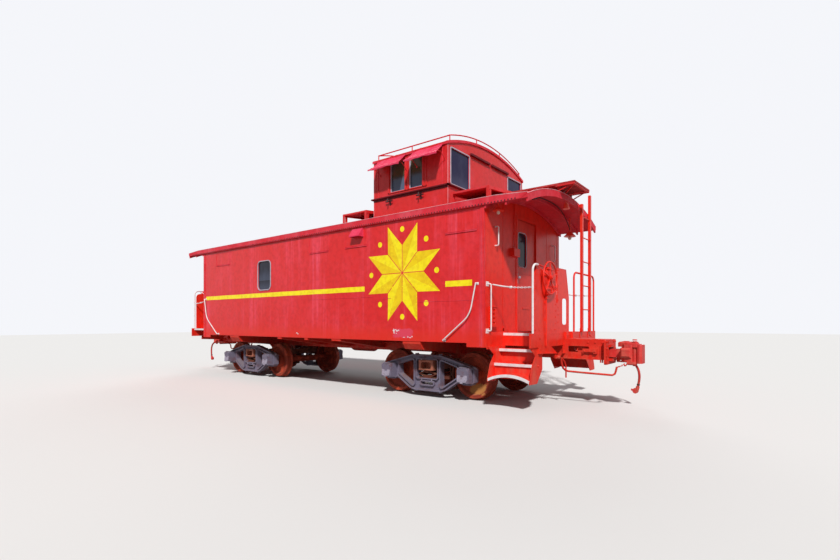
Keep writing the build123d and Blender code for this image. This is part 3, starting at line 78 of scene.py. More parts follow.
side_red = (222, 40, 42)
chalk_pink = (240, 84, 104)
# brighter than side_red as painted light, making up for the weaker light on the end walls; the platforms use
# it too
end_red_with_painted_light = (232, 42, 28)
end_chalk = (240, 78, 56)
cupola_red = (214, 42, 42)
frame_red = (214, 42, 28)
fascia_red = (218, 44, 60)
fascia_chalk = (236, 112, 128)
worn_edge_and_highlight = (240, 158, 168)
roof_red = (166, 36, 38)
roof_chalk = (200, 84, 84)
rust_brown = (104, 50, 34)
dark_rust = (58, 30, 24)
wheel_rust = (204, 80, 48)
wheel_shade = (156, 58, 38)
frame_grey = (124, 117, 138)
frame_dark = (66, 56, 64)
dust_tan = (170, 150, 124)
old_white = (232, 228, 230)
bright_yellow = (255, 236, 26)
faded_yellow = (250, 236, 96)
deep_yellow = (244, 208, 22)
primer_pink = (222, 68, 92)
scale_tan = (190, 128, 70)
foot_orange = (228, 46, 30)


def tone(colour):
    """Screen colour, 0 to 255, as the linear colour that the shaders take."""
    shares = [part / 255 for part in colour]
    linear = [part / 12.92 if part <= 0.04045 else ((part + 0.055) / 1.055) ** 2.4 for part in shares]
    return (*linear, 1.0)


# Node groups shared by the materials

even = (1.0, 1.0, 1.0)


class Wiring:
    """Adds nodes to a tree and joins them."""

    def __init__(self, tree):
        self.tree = tree

    def add(self, kind, **settings):
        node = self.tree.nodes.new(kind)
        for key, value in settings.items():
            setattr(node, key, value)
        return node

    def put(self, value, socket):
        """Joins an output to a socket, or sets a plain value on it."""
        if isinstance(value, bpy.types.NodeSocket):
            self.tree.links.new(value, socket)
        else:
            socket.default_value = value

    def fill(self, node, **values):
        """Puts values into a node's inputs, named with _ for a space, and gives its outputs."""
        for key, value in values.items():
            self.put(value, node.inputs[key.replace("_", " ")])
        return node.outputs

    def math(self, operation, first, second=0.0, clamp=False):
        node = self.add("ShaderNodeMath", operation=operation, use_clamp=clamp)
        self.put(first, node.inputs[0])
        self.put(second, node.inputs[1])
        return node.outputs[0]

    def times(self, first, *parts, clamp=False):
        for part in parts:
            first = self.math("MULTIPLY", first, part, clamp)
        return first

    def plus(self, first, *parts, clamp=False):
        for part in parts:
            first = self.math("ADD", first, part, clamp)
        return first

    def minus(self, first, second):
        return self.math("SUBTRACT", first, second)

    def mix(self, amount, first, second, blend="MIX"):
        node = self.add("ShaderNodeMix", data_type="RGBA", blend_type=blend)
        return self.fill(node, Factor=amount, A=first, B=second)["Result"]

    def ramp(self, value, low, high):
        """0 below low and 1 above high, smooth between them."""
        node = self.add("ShaderNodeMapRange", interpolation_type="SMOOTHSTEP")
        return self.fill(node, Value=value, From_Min=low, From_Max=high)["Result"]

    def place(self):
        return self.add("ShaderNodeTexCoord").outputs["Object"]

    def parts_of(self, vector):
        """X, Y and Z of a vector."""
        node = self.add("ShaderNodeSeparateXYZ")
        self.put(vector, node.inputs[0])
        return node.outputs

    def noise(self, place, stretch, scale, detail, roughness=0.55):
        """Noise over the object's own place, stretched by an axis factor."""
        scaled = self.add("ShaderNodeVectorMath", operation="MULTIPLY")
        self.put(place, scaled.inputs[0])
        scaled.inputs[1].default_value = stretch
        node = self.add("ShaderNodeTexNoise")
        return self.fill(node, Vector=scaled.outputs[0], Scale=scale, Detail=detail,
                         Roughness=roughness)["Fac"]

    def group(self, tree, values):
        """Places a node group with its own values and gives its outputs."""
        node = self.add("ShaderNodeGroup", node_tree=tree)
        for key, value in values.items():
            node.inputs[key].default_value = value
        return node.outputs

    def bump(self, height, strength, distance, under=None):
        node = self.add("ShaderNodeBump")
        self.fill(node, Strength=strength, Distance=distance, Height=height)
        if under:
            self.put(under, node.inputs["Normal"])
        return node.outputs["Normal"]


def new_group(name, inputs, outputs):
    """Node group with named sockets: its wiring, what goes in and what comes out."""
    group = bpy.data.node_groups.new(name, "ShaderNodeTree")
    for socket, start in inputs.items():
        colour = isinstance(start, tuple)
        made = group.interface.new_socket(socket, in_out="INPUT",
                                          socket_type="NodeSocketColor" if colour else "NodeSocketFloat")
        made.default_value = tone(start) if colour else start
    for socket in outputs:
        kind = "NodeSocketColor" if socket == "Colour" else "NodeSocketFloat"
        group.interface.new_socket(socket, in_out="OUTPUT", socket_type=kind)
    w = Wiring(group)
    return w, w.add("NodeGroupInput").outputs, w.add("NodeGroupOutput").inputs


def weathered_paint():
    """Sun-bleached coat: chalky runs down the face, blotches, chips and grime at the foot."""
    w, given, out = new_group(
        "weathered_paint",
        {"Paint": side_red, "Chalk": chalk_pink, "Under": dark_rust, "Runs": 0.6, "Blotches": 0.4,
         "Chips": 0.2, "Grime": 0.3, "Grime height": 1.2, "Sheen loss": 0.2},
        ("Colour", "Roughness", "Height"))
    place = w.place()
    wide_runs = w.noise(place, (2.6, 2.6, 0.16), 1.5, 5.0, 0.6)
    fine_runs = w.noise(place, (14.0, 14.0, 0.5), 1.6, 4.0, 0.6)
    broken = w.noise(place, (1.0, 1.0, 0.7), 0.9, 3.0)
    runs = w.times(w.ramp(wide_runs, 0.46, 0.72), w.ramp(fine_runs, 0.30, 0.66),
                   w.ramp(broken, 0.36, 0.60), given["Runs"], clamp=True)
    blotch = w.ramp(w.noise(place, (1.0, 1.0, 0.8), 2.2, 6.0, 0.62), 0.44, 0.72)
    blotch = w.times(blotch, given["Blotches"], clamp=True)
    colour = w.mix(runs, given["Paint"], given["Chalk"])
    colour = w.mix(blotch, colour, given["Chalk"])
    mottle = w.noise(place, even, 11.0, 3.0)
    deeper = w.mix(1.0, colour, tone((244, 236, 238)), "MULTIPLY")
    colour = w.mix(w.ramp(mottle, 0.42, 0.66), colour, deeper)
    flake = w.noise(place, even, 46.0, 5.0, 0.7)
    where = w.noise(place, even, 3.1, 2.0)
    chips = w.times(w.ramp(flake, 0.62, 0.66), w.ramp(where, 0.50, 0.62), given["Chips"], clamp=True)
    colour = w.mix(chips, colour, given["Under"])
    low = w.ramp(w.minus(given["Grime height"], w.parts_of(place)["Z"]), -0.25, 0.35)
    spatter = w.ramp(w.noise(place, (1.0, 1.0, 0.4), 7.0, 5.0, 0.65), 0.40, 0.66)
    colour = w.mix(w.times(low, spatter, given["Grime"], clamp=True), colour, tone(dust_tan))
    rough = w.plus(w.times(runs, 0.25), w.times(blotch, 0.18), given["Sheen loss"], w.times(chips, 0.3),
                   clamp=True)
    w.put(colour, out["Colour"])
    w.put(rough, out["Roughness"])
    w.put(w.minus(w.times(mottle, 0.15), chips), out["Height"])
    return w.tree


def rusted_metal():
    """Bare iron gone brown, with darker pits, brighter scale and dust on what faces up."""
    w, given, out = new_group(
        "rusted_metal",
        {"Iron": frame_grey, "Rust": rust_brown, "Dark": dark_rust, "Amount": 0.5, "Dust": 0.2},
        ("Colour", "Roughness", "Height"))
    place = w.place()
    patch = w.noise(place, even, 6.0, 6.0, 0.62)
    edge = w.minus(1.0, given["Amount"])
    rust = w.ramp(w.minus(patch, w.times(edge, 0.5)), 0.10, 0.34)
    pits = w.noise(place, even, 70.0, 4.0, 0.65)
    colour = w.mix(rust, given["Iron"], given["Rust"])
    colour = w.mix(w.times(w.ramp(pits, 0.50, 0.72), 0.55), colour, given["Dark"])
    facing = w.parts_of(w.add("ShaderNodeNewGeometry").outputs["Normal"])["Z"]
    settled = w.times(w.ramp(facing, 0.35, 1.0), given["Dust"], clamp=True)
    w.put(w.mix(settled, colour, tone(dust_tan)), out["Colour"])
    w.put(w.plus(w.times(rust, 0.25), 0.55), out["Roughness"])
    w.put(w.plus(pits, w.times(patch, 0.6)), out["Height"])
    return w.tree


def worn_patch():
    """Ragged mask about a centre, half as wide and high as given, on the near side alone."""
    w, given, out = new_group(
        "worn_patch", {"Centre X": 0.0, "Centre Z": 0.0, "Half width": 0.1, "Half height": 0.1}, ("Mask",))
    place = w.place()
    split = w.parts_of(place)
    reach = 0.0
    for axis, middle, half in (("X", "Centre X", "Half width"), ("Z", "Centre Z", "Half height")):
        away = w.math("ABSOLUTE", w.minus(split[axis], given[middle]))
        reach = w.math("MAXIMUM", reach, w.math("DIVIDE", away, given[half]))
    ragged = w.plus(reach, w.noise(place, even, 24.0, 5.0, 0.7))
    inside = w.minus(1.0, w.ramp(ragged, 1.28, 1.44))
    w.put(w.times(inside, w.math("LESS_THAN", split["Y"], 0.0)), out["Mask"])
    return w.tree


def sheet_ripple():
    """Slow unevenness of thin plate between its fastenings."""
    w, given, out = new_group("sheet_ripple", {"Depth": 1.0}, ("Height",))
    place = w.place()
    slow = w.noise(place, (1.0, 1.0, 1.2), 1.7, 2.0)
    quick = w.noise(place, even, 5.5, 2.0)
    w.put(w.times(w.plus(slow, w.times(quick, 0.28)), given["Depth"]), out["Height"])
    return w.tree


paint_group = weathered_paint()
rust_group = rusted_metal()
ripple_group = sheet_ripple()
patch_group = worn_patch()


# Materials

def start_material(name):
    material = bpy.data.materials.new(name)
    material.use_nodes = True
    tree = material.node_tree
    return material, Wiring(tree), tree.nodes["Principled BSDF"]


def patched(w, colour, patch, under):
    """Colour with one worn patch over it: patch holds its centre and half size along X and Z."""
    keys = ("Centre X", "Centre Z", "Half width", "Half height")
    mask = w.group(patch_group, dict(zip(keys, patch)))["Mask"]
    return w.mix(mask, colour, tone(under))


def painted(name, paint, chalk, under, runs, chips, grime, blotches=0.35, grime_height=1.25,
            sheen_loss=0.34, ripple=0.0, bump=0.25, patch=None, patch_tone=None, foot=None, foot_tone=None):
    """Weathered coat of paint over sheet metal or castings."""
    material, w, shader = start_material(name)
    coat = w.group(paint_group, {
        "Paint": tone(paint), "Chalk": tone(chalk), "Under": tone(under), "Runs": runs, "Blotches": blotches,
        "Chips": chips, "Grime": grime, "Grime height": grime_height, "Sheen loss": sheen_loss})
    colour = coat["Colour"]
    if foot:
        low_band = w.ramp(w.parts_of(w.place())["Z"], foot + 0.35, foot)
        colour = w.mix(w.times(low_band, 0.75), colour, tone(foot_tone))
    if patch:
        colour = patched(w, colour, patch, patch_tone)
    normal = w.bump(coat["Height"], bump, 0.002)
    if ripple:
        normal = w.bump(w.group(ripple_group, {"Depth": 1.0})["Height"], ripple, 0.03, normal)
    w.fill(shader, Base_Color=colour, Roughness=coat["Roughness"], Normal=normal, Specular_IOR_Level=0.25)
    return material


def rusty(name, iron, rust, dark, amount, dust, bump=0.5, patch=None, patch_tone=None):
    """Iron or steel gone to rust in patches."""
    material, w, shader = start_material(name)
    crust = w.group(rust_group, {"Iron": tone(iron), "Rust": tone(rust), "Dark": tone(dark),
                                 "Amount": amount, "Dust": dust})
    colour = crust["Colour"]
    if patch:
        colour = patched(w, colour, patch, patch_tone)
    w.fill(shader, Base_Color=colour, Roughness=crust["Roughness"], Metallic=0.15,
           Normal=w.bump(crust["Height"], bump, 0.003))
    return material


def dark_glass(name, pane_tone):
    """Glass that shows dark, with dust and painted reflection at each pane's foot and a painted reflection on
    the cupola's sides.
    """
    material, w, shader = start_material(name)
    place = w.place()
    split = w.parts_of(place)
    outward = w.math("GREATER_THAN", w.math("ABSOLUTE", split["Y"]), 1.31)
    high = w.math("GREATER_THAN", split["Z"], up(3.7))
    upper = w.ramp(split["Z"], up(4.02), up(4.16))
    # painted reflection on the cupola's side panes: brown from the shade's underside above, blue-grey sky
    # below
    painted_reflection = w.mix(upper, tone((84, 98, 122)), tone((92, 78, 58)))
    low_tone = w.mix(high, tone((36, 36, 50)), tone(pane_tone))
    inner = w.mix(w.times(outward, high), low_tone, painted_reflection)
    dust = w.ramp(w.noise(place, (1.0, 1.0, 0.6), 5.0, 5.0), 0.42, 0.72)
    # bluish band at each pane's foot: dust, and painted reflection of the sky
    foot_dust_and_reflection = 0.0
    for foot in (up(2.164), up(2.400), up(3.800)):
        band = w.ramp(split["Z"], foot + 0.25, foot)
        above = w.math("GREATER_THAN", split["Z"], foot - 0.02)
        foot_dust_and_reflection = w.math("MAXIMUM", foot_dust_and_reflection, w.times(band, above))
    dust = w.plus(w.times(dust, 0.10), w.times(foot_dust_and_reflection, 0.25), clamp=True)
    w.fill(shader, Base_Color=w.mix(dust, inner, tone((104, 116, 144))),
           Roughness=w.plus(w.times(dust, 0.3), 0.08), Specular_IOR_Level=0.14)
    return material


looks = {
    "side": painted("side_paint", side_red, chalk_pink, dark_rust, runs=1.2, blotches=0.2, chips=0.05,
                    grime=0.10, ripple=0.3, patch=(2.815, up(1.182), 0.27, 0.095), patch_tone=primer_pink,
                    foot=up(1.06), foot_tone=foot_orange),
    "end": painted("end_paint_with_painted_light", end_red_with_painted_light, end_chalk, dark_rust, runs=0.5, blotches=0.2, chips=0.08,
                   grime=0.2, ripple=0.25),
    "door": painted("door_paint", (206, 44, 34), end_chalk, dark_rust, runs=0.4, chips=0.2, grime=0.3),
    "roof": painted("roof_paint", fascia_red, fascia_chalk, dark_rust, runs=0.4, blotches=0.45, chips=0.3,
                    grime=0.0, ripple=0.25, sheen_loss=0.6),
    "edge": painted("worn_edge_and_highlight_paint", worn_edge_and_highlight, (255, 222, 226), fascia_red, runs=0.0, blotches=0.6,
                    chips=0.9, grime=0.0, sheen_loss=0.5),
    "cupola": painted("cupola_paint", cupola_red, chalk_pink, dark_rust, runs=0.5, blotches=0.3,
                      chips=0.1, grime=0.0, ripple=0.3),
    "walk": painted("walk_paint", roof_red, roof_chalk, dark_rust, runs=0.1, blotches=0.7, chips=0.8,
                    grime=0.0, sheen_loss=0.6),
    "frame": painted("frame_paint", frame_red, end_chalk, rust_brown, runs=0.1, blotches=0.3,
                     chips=0.8, grime=0.25, grime_height=1.0, sheen_loss=0.5),
    "platform": painted("platform_paint", end_red_with_painted_light, end_chalk, rust_brown, runs=0.3, blotches=0.25,
                        chips=0.35, grime=0.18, grime_height=1.1),
    "white": painted("white_paint", old_white, (246, 244, 248), rust_brown, runs=0.0, blotches=0.4,
                     chips=0.35, grime=0.0, sheen_loss=0.35),
    "yellow": painted("yellow_paint", bright_yellow, faded_yellow, side_red, runs=0.35, blotches=0.1,
                      chips=0.06, grime=0.0, sheen_loss=0.35, ripple=0.3),
    "amber": painted("amber_paint", deep_yellow, bright_yellow, side_red, runs=0.35, blotches=0.3,
                     chips=0.12, grime=0.0, sheen_loss=0.35, ripple=0.3),
    "sash": painted("sash_metal", (176, 172, 186), (208, 202, 212), (90, 60, 60), runs=0.2,
                    blotches=0.5, chips=0.3, grime=0.0),
    "coupler": painted("coupler_paint", (210, 52, 50), (226, 98, 100), rust_brown, runs=0.0,
                       blotches=0.5, chips=0.55, grime=0.2, sheen_loss=0.5, bump=0.8),
    "truck": rusty("truck_iron", frame_grey, (118, 92, 104), frame_dark, amount=0.30, dust=0.22, bump=0.8),
    "lid": rusty("lid_iron", (166, 158, 176), (132, 112, 120), frame_dark, amount=0.2, dust=0.15,
                 bump=0.6),
    "wheel": rusty("wheel_steel", wheel_rust, wheel_shade, dark_rust, amount=0.55, dust=0.2),
    "wheel_patched": rusty("wheel_steel_scaled", wheel_rust, wheel_shade, dark_rust, amount=0.55,
                           dust=0.2, patch=(3.995, up(0.180), 0.20, 0.105), patch_tone=scale_tan),
    "bolster": rusty("bolster_iron", (176, 104, 82), (146, 86, 68), dark_rust, amount=0.4, dust=0.3),
    "spring": rusty("spring_steel", (96, 52, 40), rust_brown, dark_rust, amount=0.8, dust=0.2),
    "brake": rusty("brake_steel", (92, 52, 44), rust_brown, dark_rust, amount=0.6, dust=0.2),
    "floor": rusty("floor_steel", (70, 40, 34), rust_brown, dark_rust, amount=0.5, dust=0.1),
    "hose": painted("hose_rubber", (184, 44, 40), (206, 90, 84), (40, 34, 34), runs=0.0,
                    blotches=0.5, chips=0.8, grime=0.2, sheen_loss=0.6),
    "pane": dark_glass("window_pane", (30, 28, 70)),
    # dark red that stands in for the shadow under the ledge and the drips: painted shadow
    "ledge": painted("ledge_shadow_paint", (104, 18, 28), (140, 36, 44), dark_rust, runs=0.0, blotches=0.3,
                     chips=0.1, grime=0.0, sheen_loss=0.6),
    "shade": painted("shade_paint", (222, 52, 88), (240, 104, 132), dark_rust, runs=0.3, blotches=0.5,
                     chips=0.1, grime=0.0, sheen_loss=0.6),
    # brighter than the other reds: painted sunlight on the canopy lamps, which stand in the roof's shade
    "lamp": painted("lamp_enamel_painted_sunlight", (250, 78, 58), (252, 130, 112), dark_rust, runs=0.0, blotches=0.3,
                    chips=0.2, grime=0.0),
    "dark": painted("dark_iron", (60, 36, 38), (96, 60, 58), dark_rust, runs=0.0, blotches=0.3,
                    chips=0.3, grime=0.0, sheen_loss=0.5),
    "bulb": painted("lamp_glass", (228, 222, 206), (244, 240, 230), (160, 150, 130), runs=0.0,
                    blotches=0.2, chips=0.0, grime=0.0, sheen_loss=0.1),
}

node_looks = {
    "side": "side_wall_near side_wall_far",
    "end": "end_wall_front end_wall_rear",
    "door": "door_front door_rear",
    "roof": "roof cupola_roof cupola_rails",
    "shade": "vent_hoods cupola_shades",
    "cupola": "cupola_front_wall cupola_rear_wall cupola_side_near cupola_side_far",
    "lamp": "canopy_lamps",
    "walk": "roof_walks lateral_decks",
    "frame": "underframe brake_gear train_lines strikers uncoupling_levers",
    "platform": "platform_front platform_rear steps_front steps_rear end_railing_front end_railing_rear"
                " ladders hand_brake_front hand_brake_rear",
    "white": "handrails side_grabs end_grabs gate_chains",
    "sash": "window_frames",
    "pane": "window_glass door_glass_front door_glass_rear",
    "coupler": "coupler_front coupler_rear glad_hand_front glad_hand_rear",
    "truck": "truck_side_frames_front truck_side_frames_rear",
    "bolster": "truck_bolster_front truck_bolster_rear",
    "spring": "truck_springs_front truck_springs_rear",
    "brake": "brake_beams_front brake_beams_rear",
    "wheel": "wheelset_2 wheelset_3 wheelset_4",
    "wheel_patched": "wheelset_1",
    "floor": "floor",
    "hose": "air_hose_front air_hose_rear",
}
for look, members in node_looks.items():
    for member in members.split():
        nodes[member].data.materials.clear()
        nodes[member].data.materials.append(looks[look])


# Mesh helpers

class Corner:
    """Turns a place given for one end and side of the car into the same place at another."""

    def __init__(self, end, side):
        self.end, self.side = end, side

    def __call__(self, x, y, height):
        return self.end * x, self.side * y, up(height)

    def way(self, x, y, z):
        """A direction, or a place whose height is still above the rail head."""
        return self.end * x, self.side * y, z


once = ((1, 1),)
both_sides = ((1, 1), (1, -1))
both_ends = ((1, 1), (-1, 1))
turned_about = ((1, 1), (-1, -1))
all_corners = ((1, 1), (-1, 1), (1, -1), (-1, -1))


def mesh_of(name, build, smooth=0.6):
    """New mesh filled by build(bm), shaded smooth where its faces meet at less than an angle."""
    bm = bmesh.new()
    build(bm)
    bmesh.ops.recalc_face_normals(bm, faces=bm.faces)
    mesh = bpy.data.meshes.new(name)
    bm.to_mesh(mesh)
    bm.free()
    mesh.shade_smooth()
    mesh.set_sharp_from_angle(angle=smooth)
    return mesh


def put_in_scene(name, data):
    item = bpy.data.objects.new(name, data)
    bpy.context.scene.collection.objects.link(item)
    return item


def add_piece(name, look, slot, build, copies=once, body="carbody", smooth=0.6, stands_for=None):
    """Piece made by build(bm, at) for each of the copies, riding on its body. The slot is not used."""
    def build_all(bm):
        for end, side in copies:
            build(bm, Corner(end, side))

    mesh = mesh_of(name, build_all, smooth)
    mesh.materials.append(looks[look])
    made = put_in_scene(name, mesh)
    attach(made, body)
    if stands_for:
        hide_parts(stands_for)


def piece(look, slot, copies=once, **rest):
    """Makes a piece from the function written under it, which gives it its name."""
    def make(build):
        add_piece(build.__name__, look, slot, build, copies, **rest)
        return build
    return make


def standing(place, direction):
    """Takes +Z to a direction, with its foot at a place."""
    turn = Vector(direction).normalized().to_track_quat("Z", "Y").to_matrix().to_4x4()
    return Matrix.Translation(Vector(place)) @ turn


def circle(radius, sides, turn_by=0.0):
    """Points round a circle, as pairs."""
    angles = [turn_by + 2 * math.pi * index / sides for index in range(sides)]
    return [(radius * math.cos(angle), radius * math.sin(angle)) for angle in angles]


def level_ring(turn, radius, height, sides, turn_by=0.0):
    return [turn @ Vector((x, y, height)) for x, y in circle(radius, sides, turn_by)]


def skin(bm, sections, closed=False, first_cap=True, last_cap=True):
    """Faces between sections of as many points, with its ends capped or joined up."""
    rings = [[bm.verts.new(point) for point in section] for section in sections]
    for low, high in zip(rings, rings[1:] + (rings[:1] if closed else [])):
        for index in range(len(low)):
            bm.faces.new((low[index - 1], low[index], high[index], high[index - 1]))
    if first_cap and not closed:
        bm.faces.new(rings[0])
    if last_cap and not closed:
        bm.faces.new(rings[-1])
    return rings


def put_block(bm, low, high, bevel):
    """Block between two corners, with its edges eased."""
    low, high = Vector(low), Vector(high)
    verts = bmesh.ops.create_cube(bm, size=1.0)["verts"]
    bmesh.ops.scale(bm, vec=high - low, verts=verts)
    bmesh.ops.translate(bm, vec=(low + high) / 2, verts=verts)
    edges = list({edge for vert in verts for edge in vert.link_edges})
    bmesh.ops.bevel(bm, geom=edges, offset=bevel, segments=1, affect="EDGES")


# Heads of fasteners: how many sides they have, and their levels as shares of radius and height
dome_sides, head_sides, washer_sides = 8, 6, 16
dome_levels = ((1.0, 0.0), (0.86, 0.55), (0.5, 0.9))
head_levels = ((1.0, 0.18), (1.0, 0.84), (0.82, 1.0))
washer_levels = ((1.32, 0.0), (1.32, 0.18))


def put_dome(bm, place, direction, radius, height):
    """Rivet head: a low dome standing on a face."""
    turn = standing(place, direction)
    rings = skin(bm, [level_ring(turn, radius * share, height * rise, dome_sides)
                      for share, rise in dome_levels], first_cap=False, last_cap=False)
    top = bm.verts.new(turn @ Vector((0, 0, height)))
    for index in range(dome_sides):
        bm.faces.new((rings[-1][index - 1], rings[-1][index], top))


def put_hex(bm, place, direction, radius, height, turn_by=0.0):
    """Bolt head or nut: a hexagon with its upper edge cut back, on a round washer."""
    turn = standing(place, direction)
    for levels, sides in ((washer_levels, washer_sides), (head_levels, head_sides)):
        skin(bm, [level_ring(turn, radius * share, height * rise, sides, turn_by) for share, rise in levels],
             first_cap=False)


def put_tube(bm, points, radius, sides, closed=False):
    """Round bar through points, with its ends closed or joined up."""
    points = [Vector(point) for point in points]
    sections = []
    side = None
    for index, point in enumerate(points):
        before = points[index - 1] if index or closed else point
        after = points[(index + 1) % len(points)] if index + 1 < len(points) or closed else point
        run = (after - before).normalized()
        if side is None:
            side = run.orthogonal().normalized()
        side = (side - run * side.dot(run)).normalized()
        other = run.cross(side)
        sections.append([point + side * a + other * b for a, b in circle(radius, sides)])
    skin(bm, sections, closed)


def put_lathe(bm, place, direction, profile, sides):
    """Turned shape: radius and height pairs spun about a direction, closed at both ends."""
    turn = standing(place, direction)
    skin(bm, [level_ring(turn, radius, height, sides) for radius, height in profile])


def rounded_ring(a0, a1, b0, b1, radius):
    """Points round a rectangle with rounded corners, as pairs."""
    corners = ((a1 - radius, b1 - radius, 0), (a0 + radius, b1 - radius, 90),
               (a0 + radius, b0 + radius, 180), (a1 - radius, b0 + radius, 270))
    points = []
    for a, b, start in corners:
        angles = [math.radians(start + 15 * step) for step in range(7)]
        points += [(a + radius * math.cos(angle), b + radius * math.sin(angle)) for angle in angles]
    return points


def spread(start, stop, pitch):
    """Even places from start to stop, about pitch apart."""
    count = max(1, round(abs(stop - start) / pitch))
    return [start + (stop - start) * index / count for index in range(count + 1)]


# Camera at the photograph's viewpoint

camera_data = bpy.data.cameras.new("view")
camera = put_in_scene("view", camera_data)
camera.location = (8.4865, -7.6398, 1.4099)
camera.rotation_euler = (math.radians(90), 0, math.radians(35.2))
camera_data.sensor_width = 36
camera_data.lens = 19.54
camera_data.shift_x, camera_data.shift_y = -0.0502, 0.0502
camera_data.clip_end = 200
bpy.context.scene.camera = camera


# Air hoses, with the same route as the source

hose_route = ((6.290, 0.745), (6.375, 0.722), (6.445, 0.667), (6.490, 0.590),
              (6.507, 0.500), (6.503, 0.400), (6.482, 0.305))
hose_y, hose_radius, hose_length = 0.330, 0.021, 0.552

for name, (end, side) in zip(("front", "rear"), turned_about):
    at = Corner(end, side)
    curve = bpy.data.curves.new(f"air_hose_tube_{name}", "CURVE")
    curve.dimensions = "3D"
    spline = curve.splines.new("NURBS")
    spline.points.add(len(hose_route) - 1)
    for point, (x, height) in zip(spline.points, hose_route):
        point.co = (*at(x, hose_y, height), 1.0)
    spline.order_u = 3
    spline.use_endpoint_u = True
    curve.resolution_u = 12
    curve.bevel_depth = hose_radius
    curve.bevel_resolution = 4
    curve.use_fill_caps = True
    curve.materials.append(looks["hose"])
    tube = put_in_scene(curve.name, curve)
    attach(tube, "carbody")
    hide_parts(f"air_hose_{name}")
    start_x, start_height = hose_route[0]
    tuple(at(start_x, hose_y, start_height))


# Painted stripe and the eight-point star on each side

stripe_low, stripe_high = 1.983, 2.081
stripe_ends = (-4.439, 4.335)
stripe_gap = 0.075
panel_x, panel_z, panel_radius = 2.799, 2.284, 0.948
paint_lift = 0.0012
star_points = 8
half_point = math.pi / star_points
point_gap = 0.0075
dot_ring, dot_radius = 0.80, 0.052


def stripe_runs():
    """Stretches of the stripe, which stops short of the star on both sides."""
    middle = (stripe_low + stripe_high) / 2
    reach = math.sqrt(panel_radius ** 2 - (panel_z - middle) ** 2) + stripe_gap
    return ((stripe_ends[0], panel_x - reach), (panel_x + reach, stripe_ends[1]))


def paint_stripe(bm, at):
    for start, stop in stripe_runs():
        rows = []
        for x in spread(start, stop, 0.25):
            low = stripe_low + 0.0015 * math.sin(x * 7.0)
            high = stripe_high + 0.0015 * math.sin(x * 5.3 + 1)
            corners = ((0, low), (paint_lift, low), (paint_lift, high), (0, high))
            rows.append([at(x, y_side + lift, height) for lift, height in corners])
        skin(bm, rows)


def put_flat(bm, at, outline, lift=paint_lift):
    """Flat painted shape on a side wall, from an outline of x and height pairs."""
    skin(bm, [[at(x, y, height) for x, height in outline] for y in (y_side, y_side + lift)])


def paint_star(bm, at, hand):
    """One half of each of the star's points, split along its length. hand is 1 or -1."""
    reach = panel_radius / 2
    across = hand * (reach * math.tan(half_point) - point_gap)
    for index in range(star_points):
        turn = 2 * half_point * (index + 0.5)
        points = ((point_gap / math.sin(half_point), 0.0), (reach, across), (panel_radius, 0.0))
        put_flat(bm, at, [(panel_x + a * math.cos(turn) - b * math.sin(turn),
                           panel_z + a * math.sin(turn) + b * math.cos(turn)) for a, b in points])


def paint_dots(bm, at):
    for middle_x, middle_z in circle(dot_ring, star_points):
        x0, z0 = panel_x + middle_x, panel_z + middle_z
        put_flat(bm, at, [(x0 + x, z0 + z) for x, z in circle(dot_radius, 28)])


for word, side in (("near", -1), ("far", 1)):
    for name, look, build in (("side_stripe", "yellow", paint_stripe),
                              ("star_light", "yellow", lambda bm, at: paint_star(bm, at, at.side)),
                              ("star_deep", "amber", lambda bm, at: paint_star(bm, at, -at.side)),
                              ("star_dots", "yellow", paint_dots)):
        add_piece(f"{name}_{word}", look, "body_paint", build, ((1, side),))


# Rivets and bolts, in rows: start, stop, pitch, the way they face, and the head

rivet = (put_dome, 0.0085, 0.0045)
small_rivet = (put_dome, 0.0065, 0.0035)
bolt = (put_hex, 0.015, 0.012)
small_bolt = (put_hex, 0.009, 0.008)
near_out, front_out, rear_out = (0, -1, 0), (1, 0, 0), (-1, 0, 0)
top_out, low_out = (0, 0, 1), (0, 0, -1)


def in_paint(x, z):
    """Whether a place on a side wall lies on the stripe or the star."""
    if stripe_low < z < stripe_high and any(start < x < stop for start, stop in stripe_runs()):
        return True
    reach = math.hypot(x - panel_x, z - panel_z)
    turn = math.atan2(z - panel_z, x - panel_x) % (2 * half_point) - half_point
    return abs(reach * math.sin(turn)) < (panel_radius - reach * math.cos(turn)) * math.tan(half_point)


def put_row(bm, at, start, stop, pitch, out, head, wanted):
    """Fasteners of one kind along a line, at the places that are wanted."""
    start, stop = Vector(at.way(*start)), Vector(at.way(*stop))
    put_head, radius, height = head
    count = round((stop - start).length / pitch)
    for index in range(count + 1):
        place = start.lerp(stop, index / max(count, 1))
        if not wanted(place.x, place.z):
            continue
        place.z = up(place.z)
        if put_head is put_dome:
            put_dome(bm, place, at.way(*out), radius, height)
        else:
            put_hex(bm, place, at.way(*out), radius, height, chance.uniform(0, 1))


def fasteners(name, look, slot, rows, copies=once, wanted=lambda x, z: True):
    def build(bm, at):
        for row in rows:
            put_row(bm, at, *row, wanted)
    add_piece(name, look, slot, build, copies)


def side_row(y, x0, z0, x1, z1, pitch, head):
    """Row of fasteners on a face that looks to the near side."""
    return (x0, y, z0), (x1, y, z1), pitch, near_out, head


def end_row(x, y0, z0, y1, z1, pitch, head, out=front_out):
    """Row of fasteners on a face that looks along the car."""
    return (x, y0, z0), (x, y1, z1), pitch, out, head


def lone(place, out, head):
    """Row of a single fastener."""
    return place, place, 1, out, head


# Side walls: rivets, flaked paint, seams, and the plates over the old windows

